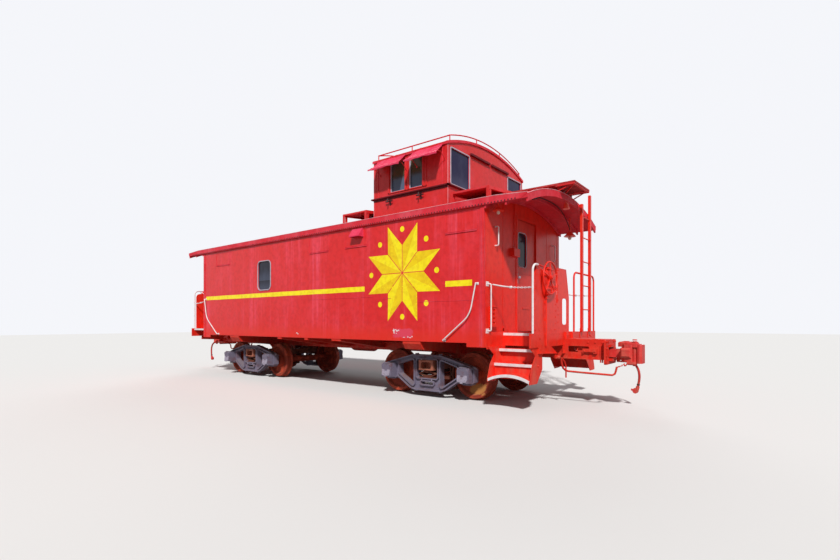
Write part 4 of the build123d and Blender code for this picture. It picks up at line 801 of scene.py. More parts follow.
rivet_columns = (-4.40, -3.15, -1.24, -0.62, 0.62, 1.24, 1.90, 2.545, 3.145, 4.445)
side_face = -y_side - paint_lift
post_face = -y_side - 0.010
foot_row = body_bottom + 0.035
side_rows = [side_row(side_face, x, body_bottom + 0.05, x, roof_eave - 0.12, 0.062, rivet)
             for x in rivet_columns]
side_rows += [side_row(side_face, -4.35, 2.035, 4.35, 2.035, 0.062, rivet),
              side_row(side_face, -4.5, foot_row, 4.5, foot_row, 0.075, rivet)]
for end in (-1, 1):
    post_x, foot_x = end * (x_end - 0.036), end * (x_end - 0.174)
    side_rows += [side_row(post_face, post_x, 1.02, post_x, 3.22, 0.10, rivet),
                  side_row(-y_side, foot_x - 0.13, 0.995, foot_x + 0.13, 0.995, 0.065, small_rivet)]
fasteners("side_rivets", "side", "body_paint", side_rows, both_sides, lambda x, z: not in_paint(x, z))
fasteners("painted_rivets", "yellow", "body_paint", side_rows, both_sides, in_paint)

# Places on the near side where the paint has flaked to white: x, height, half width and half height
flecks = ((2.590, 1.228, 0.022, 0.028), (2.632, 1.246, 0.030, 0.008), (2.668, 1.226, 0.020, 0.016),
          (2.708, 1.236, 0.016, 0.010), (2.600, 1.186, 0.026, 0.008), (2.655, 1.178, 0.012, 0.006),
          (2.842, 1.110, 0.026, 0.006), (2.938, 1.118, 0.014, 0.012), (2.990, 1.106, 0.024, 0.006),
          (3.036, 1.126, 0.010, 0.014), (-0.360, 1.146, 0.032, 0.010), (-0.322, 1.126, 0.016, 0.014))
fleck_lift = 0.0015


@piece("white", "body_paint", ((1, -1),))
def paint_flecks(bm, at):
    for x, height, half_width, half_height in flecks:
        outline = []
        for step, (a, b) in enumerate(circle(1.0, 11)):
            reach = 1 + 0.35 * math.sin(3.7 * step + 40 * x)
            outline.append((x + half_width * reach * a, height + half_height * reach * b))
        put_flat(bm, at, outline, fleck_lift)


# Plates over the old windows: left, right, foot and head. Seams: left, right and height
plates = ((-3.885, -3.202, 2.898, 3.198), (0.089, 0.740, 2.888, 3.200), (1.239, 1.891, 2.895, 3.200),
          (3.780, 4.444, 2.900, 3.205))
seams = ((0.07, 2.05, 1.868), (2.22, 2.52, 1.825), (3.16, 4.42, 1.744))


@piece("roof", "body_paint", both_sides)
def side_welds(bm, at):
    """Weld beads along the seams and round the plates, and the old sill strip left under each plate."""
    y = y_side + 0.001
    for x0, x1, z0, z1 in plates:
        corners = ((x0, z0), (x1, z0), (x1, z1), (x0, z1), (x0, z0))
        put_tube(bm, [at(x, y, z) for x, z in corners], 0.005, 6)
        put_block(bm, at(x0 + 0.01, y_side, z0 - 0.034), at(x1 - 0.01, y_side + 0.014, z0 - 0.012), 0.004)
    for x0, x1, height in seams:
        put_tube(bm, [at(x0, y, height), at(x1, y, height)], 0.004, 6)


# Cupola: corner angles, sashes, struts under the shades, hooks and rivets

cupola_foot, cupola_head = 3.432, 4.466
sash_windows = ((2.394, 2.756), (2.867, 3.179))
sash_low, sash_high = 3.840, 4.400
# Stops and meeting rails of the sashes: from x to x
sash_stops = ((2.335, 2.365), (2.385, 2.394), (2.756, 2.790), (2.833, 2.867), (3.179, 3.215), (3.262, 3.282))
shades = ((2.078, 2.870), (2.979, 3.730))
cupola_ends = ((cupola_front, 1), (cupola_rear, -1))
angle_leg, angle_sheet = 0.065, 0.004
# Windows in their wall: from, to, foot, head and corner radius
side_window = (-1.890, -1.377, 2.164, 2.835, 0.095)
front_window = (0.717, 1.281, 3.800, 4.420, 0.020)
frame_band, frame_proud = 0.020, 0.014


def put_window_frame(bm, window, place):
    """Flat frame round a window, place(a, height, lift) giving its points."""
    a0, a1, z0, z1, radius = window
    inner = rounded_ring(a0, a1, z0, z1, radius)
    outer = rounded_ring(a0 - frame_band, a1 + frame_band, z0 - frame_band, z1 + frame_band,
                         radius + frame_band)
    sections = ((inner, 0.0), (inner, frame_proud), (outer, frame_proud), (outer, 0.0))
    skin(bm, [[place(a, z, lift) for a, z in ring] for ring, lift in sections], closed=True)


@piece("sash", "window_metal", both_sides, stands_for="window_frames")
def window_trim(bm, at):
    """Thin metal frames round the side windows and the cupola's end windows."""
    put_window_frame(bm, side_window, lambda x, z, lift: at(x, y_side + lift, z))
    for x, out in cupola_ends:
        put_window_frame(bm, front_window, lambda y, z, lift: at(x + out * lift, y, z))


@piece("cupola", "body_paint", both_sides)
def cupola_angles(bm, at):
    y = cupola_half_width
    for x, out in cupola_ends:
        put_block(bm, at(x, y, cupola_foot), at(x - out * angle_leg, y + angle_sheet, cupola_head), 0.001)
        put_block(bm, at(x, y, cupola_foot), at(x + out * angle_sheet, y - angle_leg, cupola_head), 0.001)


@piece("sash", "window_metal", both_sides)
def sash_edges(bm, at):
    """Aluminium edge at the rear of each sliding sash in the cupola's sides, pale on this edge alone as a
    painted highlight.
    """
    y0, y1 = cupola_half_width - 0.024, cupola_half_width + 0.002
    for x0, x1 in sash_windows:
        put_block(bm, at(x0, y0, sash_low), at(x0 + 0.018, y1, sash_high), 0.003)
        put_block(bm, at(x0 + 0.018, y0, sash_low), at(x1, y1 - 0.012, sash_low + 0.012), 0.002)


@piece("cupola", "body_paint", both_sides)
def sash_posts(bm, at):
    """Painted stops and meeting rails round the sliding sashes, on one low rail."""
    y0, y1 = cupola_half_width - 0.002, cupola_half_width + 0.014
    for x0, x1 in sash_stops:
        put_block(bm, at(x0, y0, sash_low - 0.02), at(x1, y1, sash_high + 0.03), 0.003)
    put_block(bm, at(sash_stops[0][0], y0, sash_low - 0.022), at(sash_stops[-1][1], y1, sash_low - 0.002),
              0.003)


shade_top, shade_foot = 4.500, 4.252
shade_root, shade_lip = 1.3575, 1.648
shade_bends = 10
shade_slant = 0.075
shade_sheet, shade_hem = 0.004, 0.026


@piece("shade", "roof_paint", both_sides, stands_for="cupola_shades")
def window_shades(bm, at):
    """Sheet shades hung from the roof's edge, a little hollow, each with a turned-down hem."""
    for x0, x1 in shades:
        columns = []
        for x in spread(x0, x1, 0.06):
            share = (x - x0) / (x1 - x0)
            dent = 0.006 * math.sin(9 * share + x0) + 0.005 * math.sin(23 * share)
            top = []
            for step in range(shade_bends + 1):
                down = step / shade_bends
                hollow = (0.012 + dent) * math.sin(math.pi * down)
                top.append((shade_root + (shade_lip - shade_root) * down - hollow,
                            shade_top + (shade_foot - shade_top) * down - hollow))
            top.append((shade_lip, shade_foot - shade_hem + dent))
            rim = top + [(y - shade_sheet, z - shade_sheet) for y, z in reversed(top)]
            slant = 2 * shade_slant * max(0.0, share - 0.5) / (shade_lip - shade_root)
            columns.append([at(x - slant * (shade_lip - y), y, z) for y, z in rim])
        skin(bm, columns)


strut_places = (2.12, 2.80, 3.05, 3.70)
hinge_y, hinge_height = 1.372, 4.498


@piece("cupola", "roof_paint", both_sides)
def shade_struts(bm, at):
    """Thin struts of each shade, and the hinge line along its top."""
    wall = cupola_half_width
    for x in strut_places:
        put_tube(bm, [at(x, wall, 4.20), at(x, 1.50, 4.30), at(x, 1.60, 4.288)], 0.006, 8)
        put_block(bm, at(x - 0.014, wall, 4.18), at(x + 0.014, wall + 0.008, 4.22), 0.002)
    for x0, x1 in shades:
        put_tube(bm, [at(x, hinge_y, hinge_height) for x in (x0, x1)], 0.010, 8)


drip_reach = 0.045
drip_low, drip_high = 3.750, 3.774


@piece("ledge", "body_paint", both_sides)
def ledge_drips(bm, at):
    """Deeper drip strips along the ledge and over the end windows, dark red as painted shadow."""
    y = cupola_half_width
    lip = y + drip_reach
    put_block(bm, at(cupola_rear - 0.02, y, drip_low), at(cupola_front + drip_reach, lip, drip_high), 0.004)
    put_block(bm, at(cupola_rear, y, 3.715), at(cupola_front, y + 0.010, 3.752), 0.002)
    for x, out in cupola_ends:
        put_block(bm, at(x, 0.035, 4.454), at(x + out * 0.048, 0.690, 4.496), 0.005)
        if at.side == 1:
            put_block(bm, at(x, -lip, drip_low), at(x + out * drip_reach, lip, drip_high), 0.004)


@piece("edge", "body_paint", both_sides)
def corner_beads(bm, at):
    """Worn upright edges of the cupola's corners."""
    for x, out in cupola_ends:
        put_tube(bm, [at(x, cupola_half_width + 0.003, height) for height in (3.44, 4.46)], 0.0045, 8)


post_foot, post_head = 0.99, 3.25


@piece("roof", "body_paint", both_sides)
def corner_posts(bm, at):
    """Lapped strips at the body's corners and beside the cupola's, in the paler fascia paint, partly as a
    painted highlight.
    """
    for end in (-1, 1):
        x = end * (x_end - 0.045)
        put_block(bm, at(x - 0.016, y_side, post_foot), at(x + 0.016, y_side + 0.011, post_head), 0.005)
        bead_x = x - end * 0.034
        put_tube(bm, [at(bead_x, y_side + 0.004, height) for height in (post_foot, post_head)], 0.006, 8)
    for x, out in cupola_ends:
        put_tube(bm, [at(x - out * 0.122, cupola_half_width + 0.002, height) for height in (3.78, 4.46)],
                 0.007, 8)


hook_places = (2.390, 3.151)


@piece("dark", "roof_paint", both_sides)
def ledge_hooks(bm, at):
    """Two bent hooks under the ledge on each side, each on a plate and with a bar through it, in dark iron
    that is partly painted shadow.
    """
    y = cupola_half_width
    for x in hook_places:
        put_block(bm, at(x - 0.015, y, 3.60), at(x + 0.015, y + 0.010, 3.735), 0.002)
        put_tube(bm, [at(x, y, 3.70), at(x, y + 0.075, 3.70), at(x, y + 0.085, 3.640)], 0.014, 8)
        put_tube(bm, [at(x - 0.085, y + 0.04, 3.668), at(x + 0.085, y + 0.04, 3.668)], 0.012, 8)
        put_tube(bm, [at(x, y, 3.665), at(x, y + 0.045, 3.665)], 0.009, 8)


cupola_face, eave_bead = -cupola_half_width - angle_sheet, -1.379
cupola_rows = [side_row(cupola_face, x, 3.47, x, 4.44, 0.075, small_rivet)
               for x in (cupola_front - 0.030, cupola_rear + 0.030)]
cupola_rows += [side_row(-cupola_half_width, 1.98, height, 3.72, height, 0.10, small_rivet)
                for height in (3.72, 3.485)]
cupola_rows += [side_row(-cupola_half_width, x, 3.80, x, 4.40, 0.10, small_rivet) for x in (2.80, 2.36, 3.22)]
cupola_rows.append(side_row(eave_bead, 1.95, 4.490, 3.76, 4.490, 0.085, rivet))
for x, out in ((cupola_front + angle_sheet, front_out), (cupola_rear - angle_sheet, rear_out)):
    cupola_rows += [end_row(x, -1.327, 3.47, -1.327, 4.44, 0.075, small_rivet, out),
                    end_row(x, -0.66, 3.80, -0.66, 4.42, 0.10, small_rivet, out)]
fasteners("cupola_rivets", "cupola", "body_paint", cupola_rows, both_sides)


# Roof: seams, edge beads, decks, brackets and cable

roof_laps = (-5.34, -4.56, -3.90, -3.25, -2.60, -1.95, -1.30, -0.65, 0.0, 0.65, 1.28, 4.56, 5.34)
cupola_laps = (cupola_rear + 0.02, 2.55, 3.15, cupola_front - 0.02)
lap_bed, lap_lift = 0.002, 0.004


@piece("roof", "roof_paint")
def roof_seams(bm, at):
    """Thin strips laid across both roofs."""
    for laps, half_width, reach, height_at in (
            (roof_laps, 0.020, roof_half_width - 0.002, roof_height),
            (cupola_laps, 0.018, cupola_half_width + 0.018, cupola_height)):
        for x in laps:
            x0, x1 = x - half_width, x + half_width
            sections = []
            for y in spread(-reach, reach, reach / 12):
                low, high = height_at(y) - lap_bed, height_at(y) + lap_lift
                sections.append([at(x0, y, low), at(x0, y, high), at(x1, y, high), at(x1, y, low)])
            skin(bm, sections)


fascia_low, fascia_top, fascia_tip = 3.256, 3.374, 3.338
# Where the fascia's foot and its top end along the car, before the slopes up to its tips
foot_reach, top_reach = 5.250, 4.800


@piece("edge", "roof_paint", smooth=1.0)
def roof_edge_beads(bm, at):
    """Rolled edge along the fascias and the roof's ends, its paint worn pale and made paler still as a
    painted highlight.
    """
    line = ((-x_roof, fascia_tip), (-top_reach, fascia_top), (0.0, fascia_top), (top_reach, fascia_top),
            (x_roof, fascia_tip))
    for way in (-1, 1):
        y = way * (roof_half_width + 0.005)
        put_tube(bm, [at(x, y, height - 0.001) for x, height in line], 0.0055, 8)
        arc = [at(way * x_roof, y, roof_height(y) - 0.002)
               for y in spread(-roof_half_width, roof_half_width, 0.12)]
        put_tube(bm, arc, 0.005, 8)


@piece("roof", "roof_paint", both_sides)
def roof_fascia(bm, at):
    """Angle iron along the roof's edges, its upright leg cut back at both ends."""
    half = [(foot_reach, fascia_low), (x_roof, fascia_low + 0.07), (x_roof, fascia_tip),
            (top_reach, fascia_top)]
    outline = half + [(-x, height) for x, height in reversed(half)]
    y = roof_half_width + 0.001
    skin(bm, [[at(x, face, height) for x, height in outline] for face in (y, y + 0.005)])
    put_block(bm, at(-top_reach, y - 0.018, fascia_top - 0.005), at(top_reach, y + 0.003, fascia_top), 0.001)


deck_spans = ((1.160, 1.832), (3.881, 4.644))
deck_root, deck_edge = 0.372, 1.450
deck_root_height, deck_edge_height = 3.677, 3.575
deck_planks, plank_gap = 6, 0.006
deck_board, deck_beam = 0.030, 0.055
deck_feet = (deck_edge - 0.06, 0.95, 0.50)


def deck_height(y):
    share = (y - deck_root) / (deck_edge - deck_root)
    return deck_root_height + (deck_edge_height - deck_root_height) * share


def put_board(bm, at, x0, x1, y0, y1, high, low):
    """Board along a deck's slope, from high to low under its upper face."""
    section = [(y, deck_height(y) - drop) for y, drop in ((y0, high), (y1, high), (y1, low), (y0, low))]
    skin(bm, [[at(x, y, height) for y, height in section] for x in (x0, x1)])


@piece("cupola", "walk_paint", both_sides, stands_for="lateral_decks")
def deck_boards(bm, at):
    """Planked decks beside the cupola, each on feet and with straps down to the roof's edge."""
    pitch = (deck_edge - deck_root) / deck_planks
    for x0, x1 in deck_spans:
        for index in range(deck_planks):
            y = deck_root + pitch * index
            put_board(bm, at, x0, x1, y + plank_gap / 2, y + pitch - plank_gap / 2, 0.0, deck_board)
        for x in (x0 + 0.02, x1 - 0.02):
            put_board(bm, at, x - 0.02, x + 0.02, deck_root, deck_edge, deck_board, deck_beam)
            for y in deck_feet:
                put_block(bm, at(x - 0.015, y - 0.02, roof_height(y + 0.02)),
                          at(x + 0.015, y + 0.02, deck_height(y) - 0.05), 0.002)
            put_block(bm, at(x - 0.03, deck_edge, roof_eave),
                      at(x + 0.03, deck_edge + 0.008, deck_edge_height), 0.002)


@piece("cupola", "roof_paint", both_ends)
def walk_brackets(bm, at):
    """Forked bracket under the end of each roof walk, and angles under its edges."""
    for side in (-1, 1):
        head = at(5.610, side * 0.300, 3.722)
        for x, y, radius in ((x_roof - 0.01, 0.06, 0.013), (x_roof - 0.02, 0.34, 0.011)):
            put_tube(bm, [at(x, side * y, roof_height(y) + 0.004), head], radius, 8)
        put_block(bm, at(5.330, side * 0.352, 3.700), at(5.638, side * 0.322, 3.727), 0.002)
    put_block(bm, at(5.590, -0.345, 3.706), at(5.632, 0.345, 3.727), 0.002)


# Cable under each canopy: its place along the car, depth under the roof, and where it begins to sag
cable_x, cable_drop, cable_sag_from = 5.03, 0.060, 0.30


@piece("dark", "roof_paint", both_ends, smooth=1.0)
def canopy_cables(bm, at):
    """Cable slung across under each canopy to the far lamp, and the box it comes from."""
    points = []
    for y in spread(-0.62, 0.30, 0.1) + spread(0.36, 0.93, 0.1):
        sag = 0.5 * max(0.0, y - cable_sag_from) ** 2
        points.append(at(cable_x, y, roof_height(y, cable_drop) - 0.012 - sag))
    put_tube(bm, points + [at(cable_x, 0.950, 3.185)], 0.008, 8)
    put_block(bm, at(cable_x - 0.05, -0.70, roof_height(0.66, cable_drop) - 0.05),
              at(cable_x + 0.05, -0.60, roof_height(0.62, cable_drop + 0.002)), 0.006)


# Bulbs: x, y, height and radius, and their shape as shares of the radius
bulbs = ((4.700, -1.252, 3.196, 0.030), (5.030, 0.950, 3.082, 0.036))
bulb_shape = ((0.4, 0.0), (0.8, -0.4), (1.0, -1.0), (0.75, -1.7), (0.3, -2.0))


@piece("bulb", "window_glass", both_ends, smooth=1.2)
def lamp_bulbs(bm, at):
    for x, y, height, radius in bulbs:
        put_lathe(bm, at(x, y, height), top_out, [(radius * a, radius * b) for a, b in bulb_shape], 16)


walk_cleats = (4.016, 4.558, 5.320, -5.320, -3.902, -2.484, -1.066, 0.352, 1.770)
walk_rows = [((x + shift, -0.2864, 3.756), (x + shift, 0.2864, 3.756), 0.1432, top_out, small_rivet)
             for x in walk_cleats for shift in (-0.014, 0.014)]
fasteners("walk_bolts", "walk", "walk_paint", walk_rows)
canopy_rows = [lone((x_roof, y, roof_height(y) - 0.031), front_out, rivet) for y in spread(0.12, 1.44, 0.22)]
fasteners("roof_rivets", "roof", "roof_paint", canopy_rows, all_corners)
# bolts in dark iron so that they show as the dark dashes under the fascia: partly painted shadow
eave_row = side_row(-roof_half_width - 0.006, -5.15, 3.270, 5.15, 3.270, 0.0602, small_bolt)
fasteners("eave_bolts", "dark", "roof_paint", [eave_row], both_sides)


# End walls, doors and what is fixed to them

door_face = x_end - 0.018
wall_face = x_end + 0.004
casing_face = x_end + 0.012
wall_foot = 1.235
# Gasket round a door's glass: from, to, foot, head and corner radius
gasket = (-0.313, 0.018, 2.392, 3.022, 0.075)
knob_shape = ((0.020, 0.004), (0.011, 0.010), (0.011, 0.030), (0.026, 0.038), (0.028, 0.052), (0.016, 0.060))
lock_shape = ((0.012, 0.004), (0.012, 0.009), (0.006, 0.010))


def end_strips(bm, at):
    """Cover strips at the wall's corners and beside the door, and the kick rail at its foot."""
    for y0, y1, top in ((1.366, 1.440, 3.245), (0.890, 0.850, 3.400), (1.366, 0.425, 1.285)):
        put_block(bm, at(x_end, y0, wall_foot), at(wall_face, y1, top), 0.001)


def door_fittings(bm, at):
    """Gasket round the glass, and the knob on its plate with the lock under it."""
    put_tube(bm, [at(door_face, y, height) for y, height in rounded_ring(*gasket)], 0.009, 8, closed=True)
    put_block(bm, at(door_face, -0.350, 2.09), at(door_face + 0.005, -0.312, 2.27), 0.002)
    for height, shape, sides in ((2.19, knob_shape, 16), (2.12, lock_shape, 12)):
        put_lathe(bm, at(door_face, -0.331, height), at.way(*front_out), shape, sides)


def door_plates(bm, at):
    """Kick plate and mail slot cover of the door."""
    put_block(bm, at(door_face, -0.300, wall_foot), at(door_face + 0.003, 0.300, 1.315), 0.001)
    put_block(bm, at(door_face - 0.006, -0.13, 1.62), at(door_face + 0.004, 0.13, 1.655), 0.003)


def wall_boxes(bm, at):
    """Lid edges of the two boxes on the end wall."""
    put_block(bm, at(x_end + 0.070, -0.610, 2.550), at(x_end + 0.074, -0.406, 2.675), 0.002)
    put_block(bm, at(x_end + 0.060, -1.335, 1.625), at(x_end + 0.072, -1.172, 1.645), 0.003)


for word, end in (("front", 1), ("rear", -1)):
    for name, look, build, copies, body in (
            ("end_strips", "end", end_strips, ((end, 1), (end, -1)), "carbody"),
            ("door_fittings", "sash", door_fittings, ((end, 1),), f"door_leaf_{word}"),
            ("door_plates", "door", door_plates, ((end, 1),), f"door_leaf_{word}"),
            ("wall_boxes", "end", wall_boxes, ((end, 1),), "carbody")):
        add_piece(f"{name}_{word}", look, "body_paint", build, copies, body)


fasteners("end_rivets", "end", "body_paint",
          [end_row(wall_face, 1.384, 1.26, 1.384, 3.22, 0.085, small_rivet),
           end_row(wall_face, 1.422, 1.26, 1.422, 3.22, 0.085, small_rivet),
           end_row(wall_face, 0.870, 1.30, 0.870, 3.38, 0.085, small_rivet),
           end_row(wall_face, 0.45, 1.26, 1.34, 1.26, 0.085, small_rivet),
           end_row(casing_face, 0.398, 1.30, 0.398, 3.24, 0.16, small_rivet),
           end_row(casing_face, 0.04, 3.272, 0.398, 3.272, 0.12, small_rivet)], all_corners)


# Railings, chains and the hand brake

def put_link(bm, place, run, flat, length, wire):
    """One oval chain link along run, lying in the plane of run and flat."""
    run, flat = run.normalized(), Vector(flat)
    flat = (flat - run * flat.dot(run)).normalized()
    bow = 1.9 * wire
    straight = length / 2 - bow
    points = []
    for end in (1, -1):
        for step in range(5):
            angle = math.pi * (step / 4 - 0.5)
            points.append(place + run * end * (straight + bow * math.cos(angle))
                          + flat * end * bow * math.sin(angle))
    put_tube(bm, points, wire, 6, closed=True)


def hung(start, stop, sag, share):
    """Place on a slack line between two points, at a share of its way."""
    return Vector(start).lerp(Vector(stop), share) - Vector((0, 0, 4 * sag * share * (1 - share)))


def put_chain(bm, start, stop, sag, link_length, wire):
    """Chain of links hung between two points."""
    count = max(2, round((Vector(stop) - Vector(start)).length / (link_length - 2.4 * wire)))
    for index in range(count):
        run = hung(start, stop, sag, (index + 1) / count) - hung(start, stop, sag, index / count)
        flat = (0, 0, 1) if index % 2 else (0, 1, 0)
        put_link(bm, hung(start, stop, sag, (index + 0.5) / count), run, flat, link_length, wire)


gate_sag = 0.024
hook_half = Vector((0.026, 0.011, 0.020))


@piece("white", "rail_paint", all_corners, smooth=1.2, stands_for="gate_chains")
def gate_chain_links(bm, at):
    """Chain across each gate, with a sleeve over the half by the wall and a snap hook after it."""
    start, stop = at(4.645, 1.365, 1.995), at(5.348, 1.355, 1.919)
    put_chain(bm, start, stop, gate_sag, 0.042, 0.0045)
    put_tube(bm, [hung(start, stop, gate_sag, share) for share in spread(0.03, 0.46, 0.05)], 0.012, 10)
    hook = hung(start, stop, gate_sag, 0.49)
    put_block(bm, hook - hook_half, hook + hook_half, 0.007)


railing_x, railing_face = 5.366, 5.369
# Free edges of the two railing plates, and the slot in the taller one, as y and height
low_plate = ((-1.307, 1.217), (-1.307, 2.11), (-1.27, 2.18), (-1.21, 2.197), (-0.475, 2.255), (-0.475, 1.70))
tall_plate = ((-0.433, 1.72), (-0.433, 2.300), (-0.067, 2.300), (0.056, 1.814), (0.056, 1.217))
plate_slot = (-0.240, -0.040, 1.337, 1.800, 0.06)


@piece("platform", "platform_paint", both_ends, smooth=1.2)
def railing_edges(bm, at):
    """Stiffening bead along the plates' free edges."""
    for line, radius, closed in ((low_plate, 0.007, False), (tall_plate, 0.007, False),
                                 (rounded_ring(*plate_slot), 0.006, True)):
        put_tube(bm, [at(railing_x, y, height) for y, height in line], radius, 8, closed)


brake_face, brake_y, brake_height = 5.4143, -0.889, 2.090
brake_cover = ((0.132, -0.002), (0.132, 0.005), (0.118, 0.010), (0.07, 0.012), (0.06, 0.010))
cover_bolt_ring = 0.105
# Ribs on the brake's housing: foot, head and how far each stands out
housing_ribs = ((2.225, 2.262, 0.030), (1.905, 1.935, 0.022), (1.80, 1.825, 0.014))


@piece("platform", "platform_paint", both_ends)
def brake_fittings(bm, at):
    """Cover, hub nut, pawl and chain of the hand brake."""
    out = at.way(*front_out)
    put_lathe(bm, at(brake_face, brake_y, brake_height), out, brake_cover, 28)
    put_hex(bm, at(5.4746, brake_y, brake_height), out, 0.024, 0.018)
    for y, z in circle(cover_bolt_ring, 6, 0.15 * math.pi):
        put_hex(bm, at(brake_face, brake_y + y, brake_height + z), out, 0.011, 0.016)
    for low, high, proud in housing_ribs:
        put_block(bm, at(brake_face - 0.04, -0.955, low), at(brake_face + proud, -0.823, high), 0.006)
    put_block(bm, at(brake_face, -0.800, 1.86), at(brake_face + 0.014, -0.770, 1.97), 0.003)
    put_tube(bm, [at(brake_face, -0.785, 1.95), at(brake_face + 0.05, -0.765, 1.96),
                  at(brake_face + 0.055, -0.70, 1.93)], 0.008, 8)
    put_chain(bm, at(5.372, -1.178, 2.262), at(5.438, -1.130, 2.165), 0.01, 0.030, 0.0035)


fasteners("railing_bolts", "platform", "platform_paint",
          [end_row(railing_face, -0.508, 1.26, -0.508, 2.20, 0.10, small_bolt),
           end_row(railing_face, -0.405, 1.26, -0.405, 2.26, 0.13, small_bolt),
           end_row(railing_face, 0.030, 1.26, 0.030, 1.78, 0.13, small_bolt),
           end_row(railing_face, -1.28, 1.26, -0.54, 1.26, 0.148, small_bolt),
           end_row(railing_face, -1.28, 1.26, -1.28, 2.06, 0.16, small_bolt),
           ((5.345, -1.26, 1.217), (5.345, -0.02, 1.217), 0.155, top_out, bolt)], both_ends)


# Fasteners of the end sills, draft sills and strikers, and the ladders' bolts and stays

draft_side = -0.165
striker_face = 6.1323
fasteners("sill_bolts", "frame", "frame_paint",
          [end_row(sill_face, -1.405, 1.180, -0.24, 1.180, 0.116, rivet),
           end_row(sill_face, -1.405, 1.020, -0.24, 1.020, 0.116, rivet),
           lone((sill_face, -1.125, 1.127), front_out, bolt),
           end_row(sill_face, -1.13, 0.925, -0.52, 0.905, 0.15, rivet),
           side_row(draft_side, 5.80, 1.046, 6.05, 1.046, 0.12, bolt),
           side_row(draft_side, 5.43, 1.062, 5.72, 1.062, 0.072, rivet),
           side_row(draft_side, 5.42, 0.835, 5.90, 0.835, 0.080, rivet),
           ((5.46, -0.180, 0.774), (6.06, -0.180, 0.774), 0.12, top_out, small_bolt),
           side_row(-0.210, 5.75, 0.90, 5.93, 0.90, 0.09, bolt),
           end_row(striker_face, -0.235, 0.725, -0.235, 1.060, 0.1117, bolt),
           lone((striker_face, -0.150, 1.066), front_out, bolt)], all_corners)

ladder_face = 5.4275
ladder_stiles = (0.600, 1.020)
rung_heights = (1.622, 2.069, 2.519, 2.969, 3.360)
ladder_rows = [lone((ladder_face, y, 1.12), front_out, bolt) for y in ladder_stiles]
ladder_rows += [lone((ladder_face, y, height), front_out, small_bolt)
                for y in ladder_stiles for height in rung_heights]
fasteners("ladder_bolts", "platform", "platform_paint", ladder_rows, both_ends)


@piece("platform", "platform_paint", both_ends)
def ladder_stays(bm, at):
    """Stays from the ladder's stiles back to the canopy's edge."""
    for y in ladder_stiles:
        height = roof_height(y, 0.030)
        put_block(bm, at(x_roof, y - 0.02, height - 0.02), at(5.384, y + 0.02, height + 0.02), 0.003)


# Couplers, uncoupling levers and hose clamps

coupler_height = 0.876
cap_shape = ((0.050, 0.0), (0.050, 0.006), (0.040, 0.010))
pin_shape = ((0.036, -0.004), (0.036, 0.008), (0.028, 0.014))


@piece("coupler", "coupler_casting", turned_about)
def coupler_details(bm, at):
    """Knuckle pin and its cap, lifter with its chain, and the raised lines on the head's side."""
    def near(x, y, rise):
        return at(x, y, coupler_height + rise)

    put_lathe(bm, near(6.545, -0.112, 0.190), top_out, cap_shape, 20)
    put_lathe(bm, near(6.545, -0.112, 0.222), top_out, pin_shape, 20)
    put_block(bm, near(6.335, -0.060, 0.188), near(6.420, 0.060, 0.200), 0.005)
    put_tube(bm, [near(6.45, -0.17, -0.125), near(6.45, -0.205, -0.15), near(6.43, -0.205, -0.185),
                  near(6.40, -0.17, -0.19), near(6.385, -0.13, -0.16)], 0.010, 8)
    put_block(bm, near(6.30, -0.065, -0.145), near(6.40, 0.065, -0.120), 0.006)
    put_chain(bm, near(6.280, -0.170, -0.214), near(6.385, -0.150, -0.166), 0.012, 0.034, 0.004)
    for rise in (0.055, -0.030):
        put_tube(bm, [near(6.36, -0.219, rise), near(6.49, -0.219, rise)], 0.004, 6)


# Routes of the uncoupling lever and its handle: out from the end sill's face, y and height
lever_route = ((0.060, -0.640, 0.800), (0.060, -0.500, 0.812), (0.060, -0.455, 0.790),
               (0.060, -0.425, 0.735), (0.062, -0.400, 0.665), (0.070, -0.370, 0.610),
               (0.085, -0.310, 0.570), (0.100, -0.230, 0.548), (0.350, -0.222, 0.539),
               (0.715, -0.212, 0.530), (0.835, -0.182, 0.524), (0.872, -0.170, 0.545),
               (0.888, -0.169, 0.590), (0.905, -0.170, 0.660))
handle_route = ((0.060, -0.470, 0.800), (0.075, -0.430, 0.775), (0.090, -0.370, 0.725),
                (0.100, -0.330, 0.650), (0.095, -0.310, 0.560), (0.090, -0.300, 0.445))
lever_radius, handle_radius = 0.017, 0.013
collar_shape = ((0.026, 0.0), (0.030, 0.008), (0.030, 0.040), (0.026, 0.048))


@piece("frame", "frame_paint", turned_about, smooth=1.2, stands_for="uncoupling_levers")
def lever_bars(bm, at):
    """Bent bar from the end sill to the coupler's lock, with a hanging handle and its brackets."""
    def off_sill(x, y, height):
        return at(sill_face + x, y, height)

    put_tube(bm, [off_sill(*point) for point in lever_route], lever_radius, 12)
    put_tube(bm, [off_sill(*point) for point in handle_route], handle_radius, 12)
    put_block(bm, off_sill(-0.018, -0.562, 0.780), off_sill(0.078, -0.538, 0.835), 0.004)
    put_block(bm, off_sill(-0.004, -0.562, 0.790), off_sill(0.010, -0.500, 0.870), 0.004)
    put_lathe(bm, off_sill(0.060, -0.575, 0.803), at.way(0, 1, 0), collar_shape, 16)


clamp_shape = ((0.0235, 0.022), (0.0265, 0.024), (0.0265, 0.040), (0.0235, 0.042))


@piece("dark", "frame_paint", turned_about)
def hose_clamps(bm, at):
    """Clamp round the hose near each of its ends."""
    for (x0, z0), (x1, z1) in (hose_route[:2], hose_route[:-3:-1]):
        put_lathe(bm, at(x0, hose_y, z0), at.way(x1 - x0, 0, z1 - z0), clamp_shape, 20)


# Platforms and steps

well_edge, closed_edge = 0.888, sill_half_width - 0.067
nosing_depth, nosing_back, nosing_lift = 0.043, 0.020, 0.0015
step_end = 5.356
# Upper treads: drop below the floor and how far back from the side. The lowest one is bowed
treads = ((0.257, 0.360), (0.484, 0.200))
low_tread_drop = 0.722
bow_middle, bow_half, bow_rise = 4.978, 0.378, 0.085
bare_corner = (-1, -1)


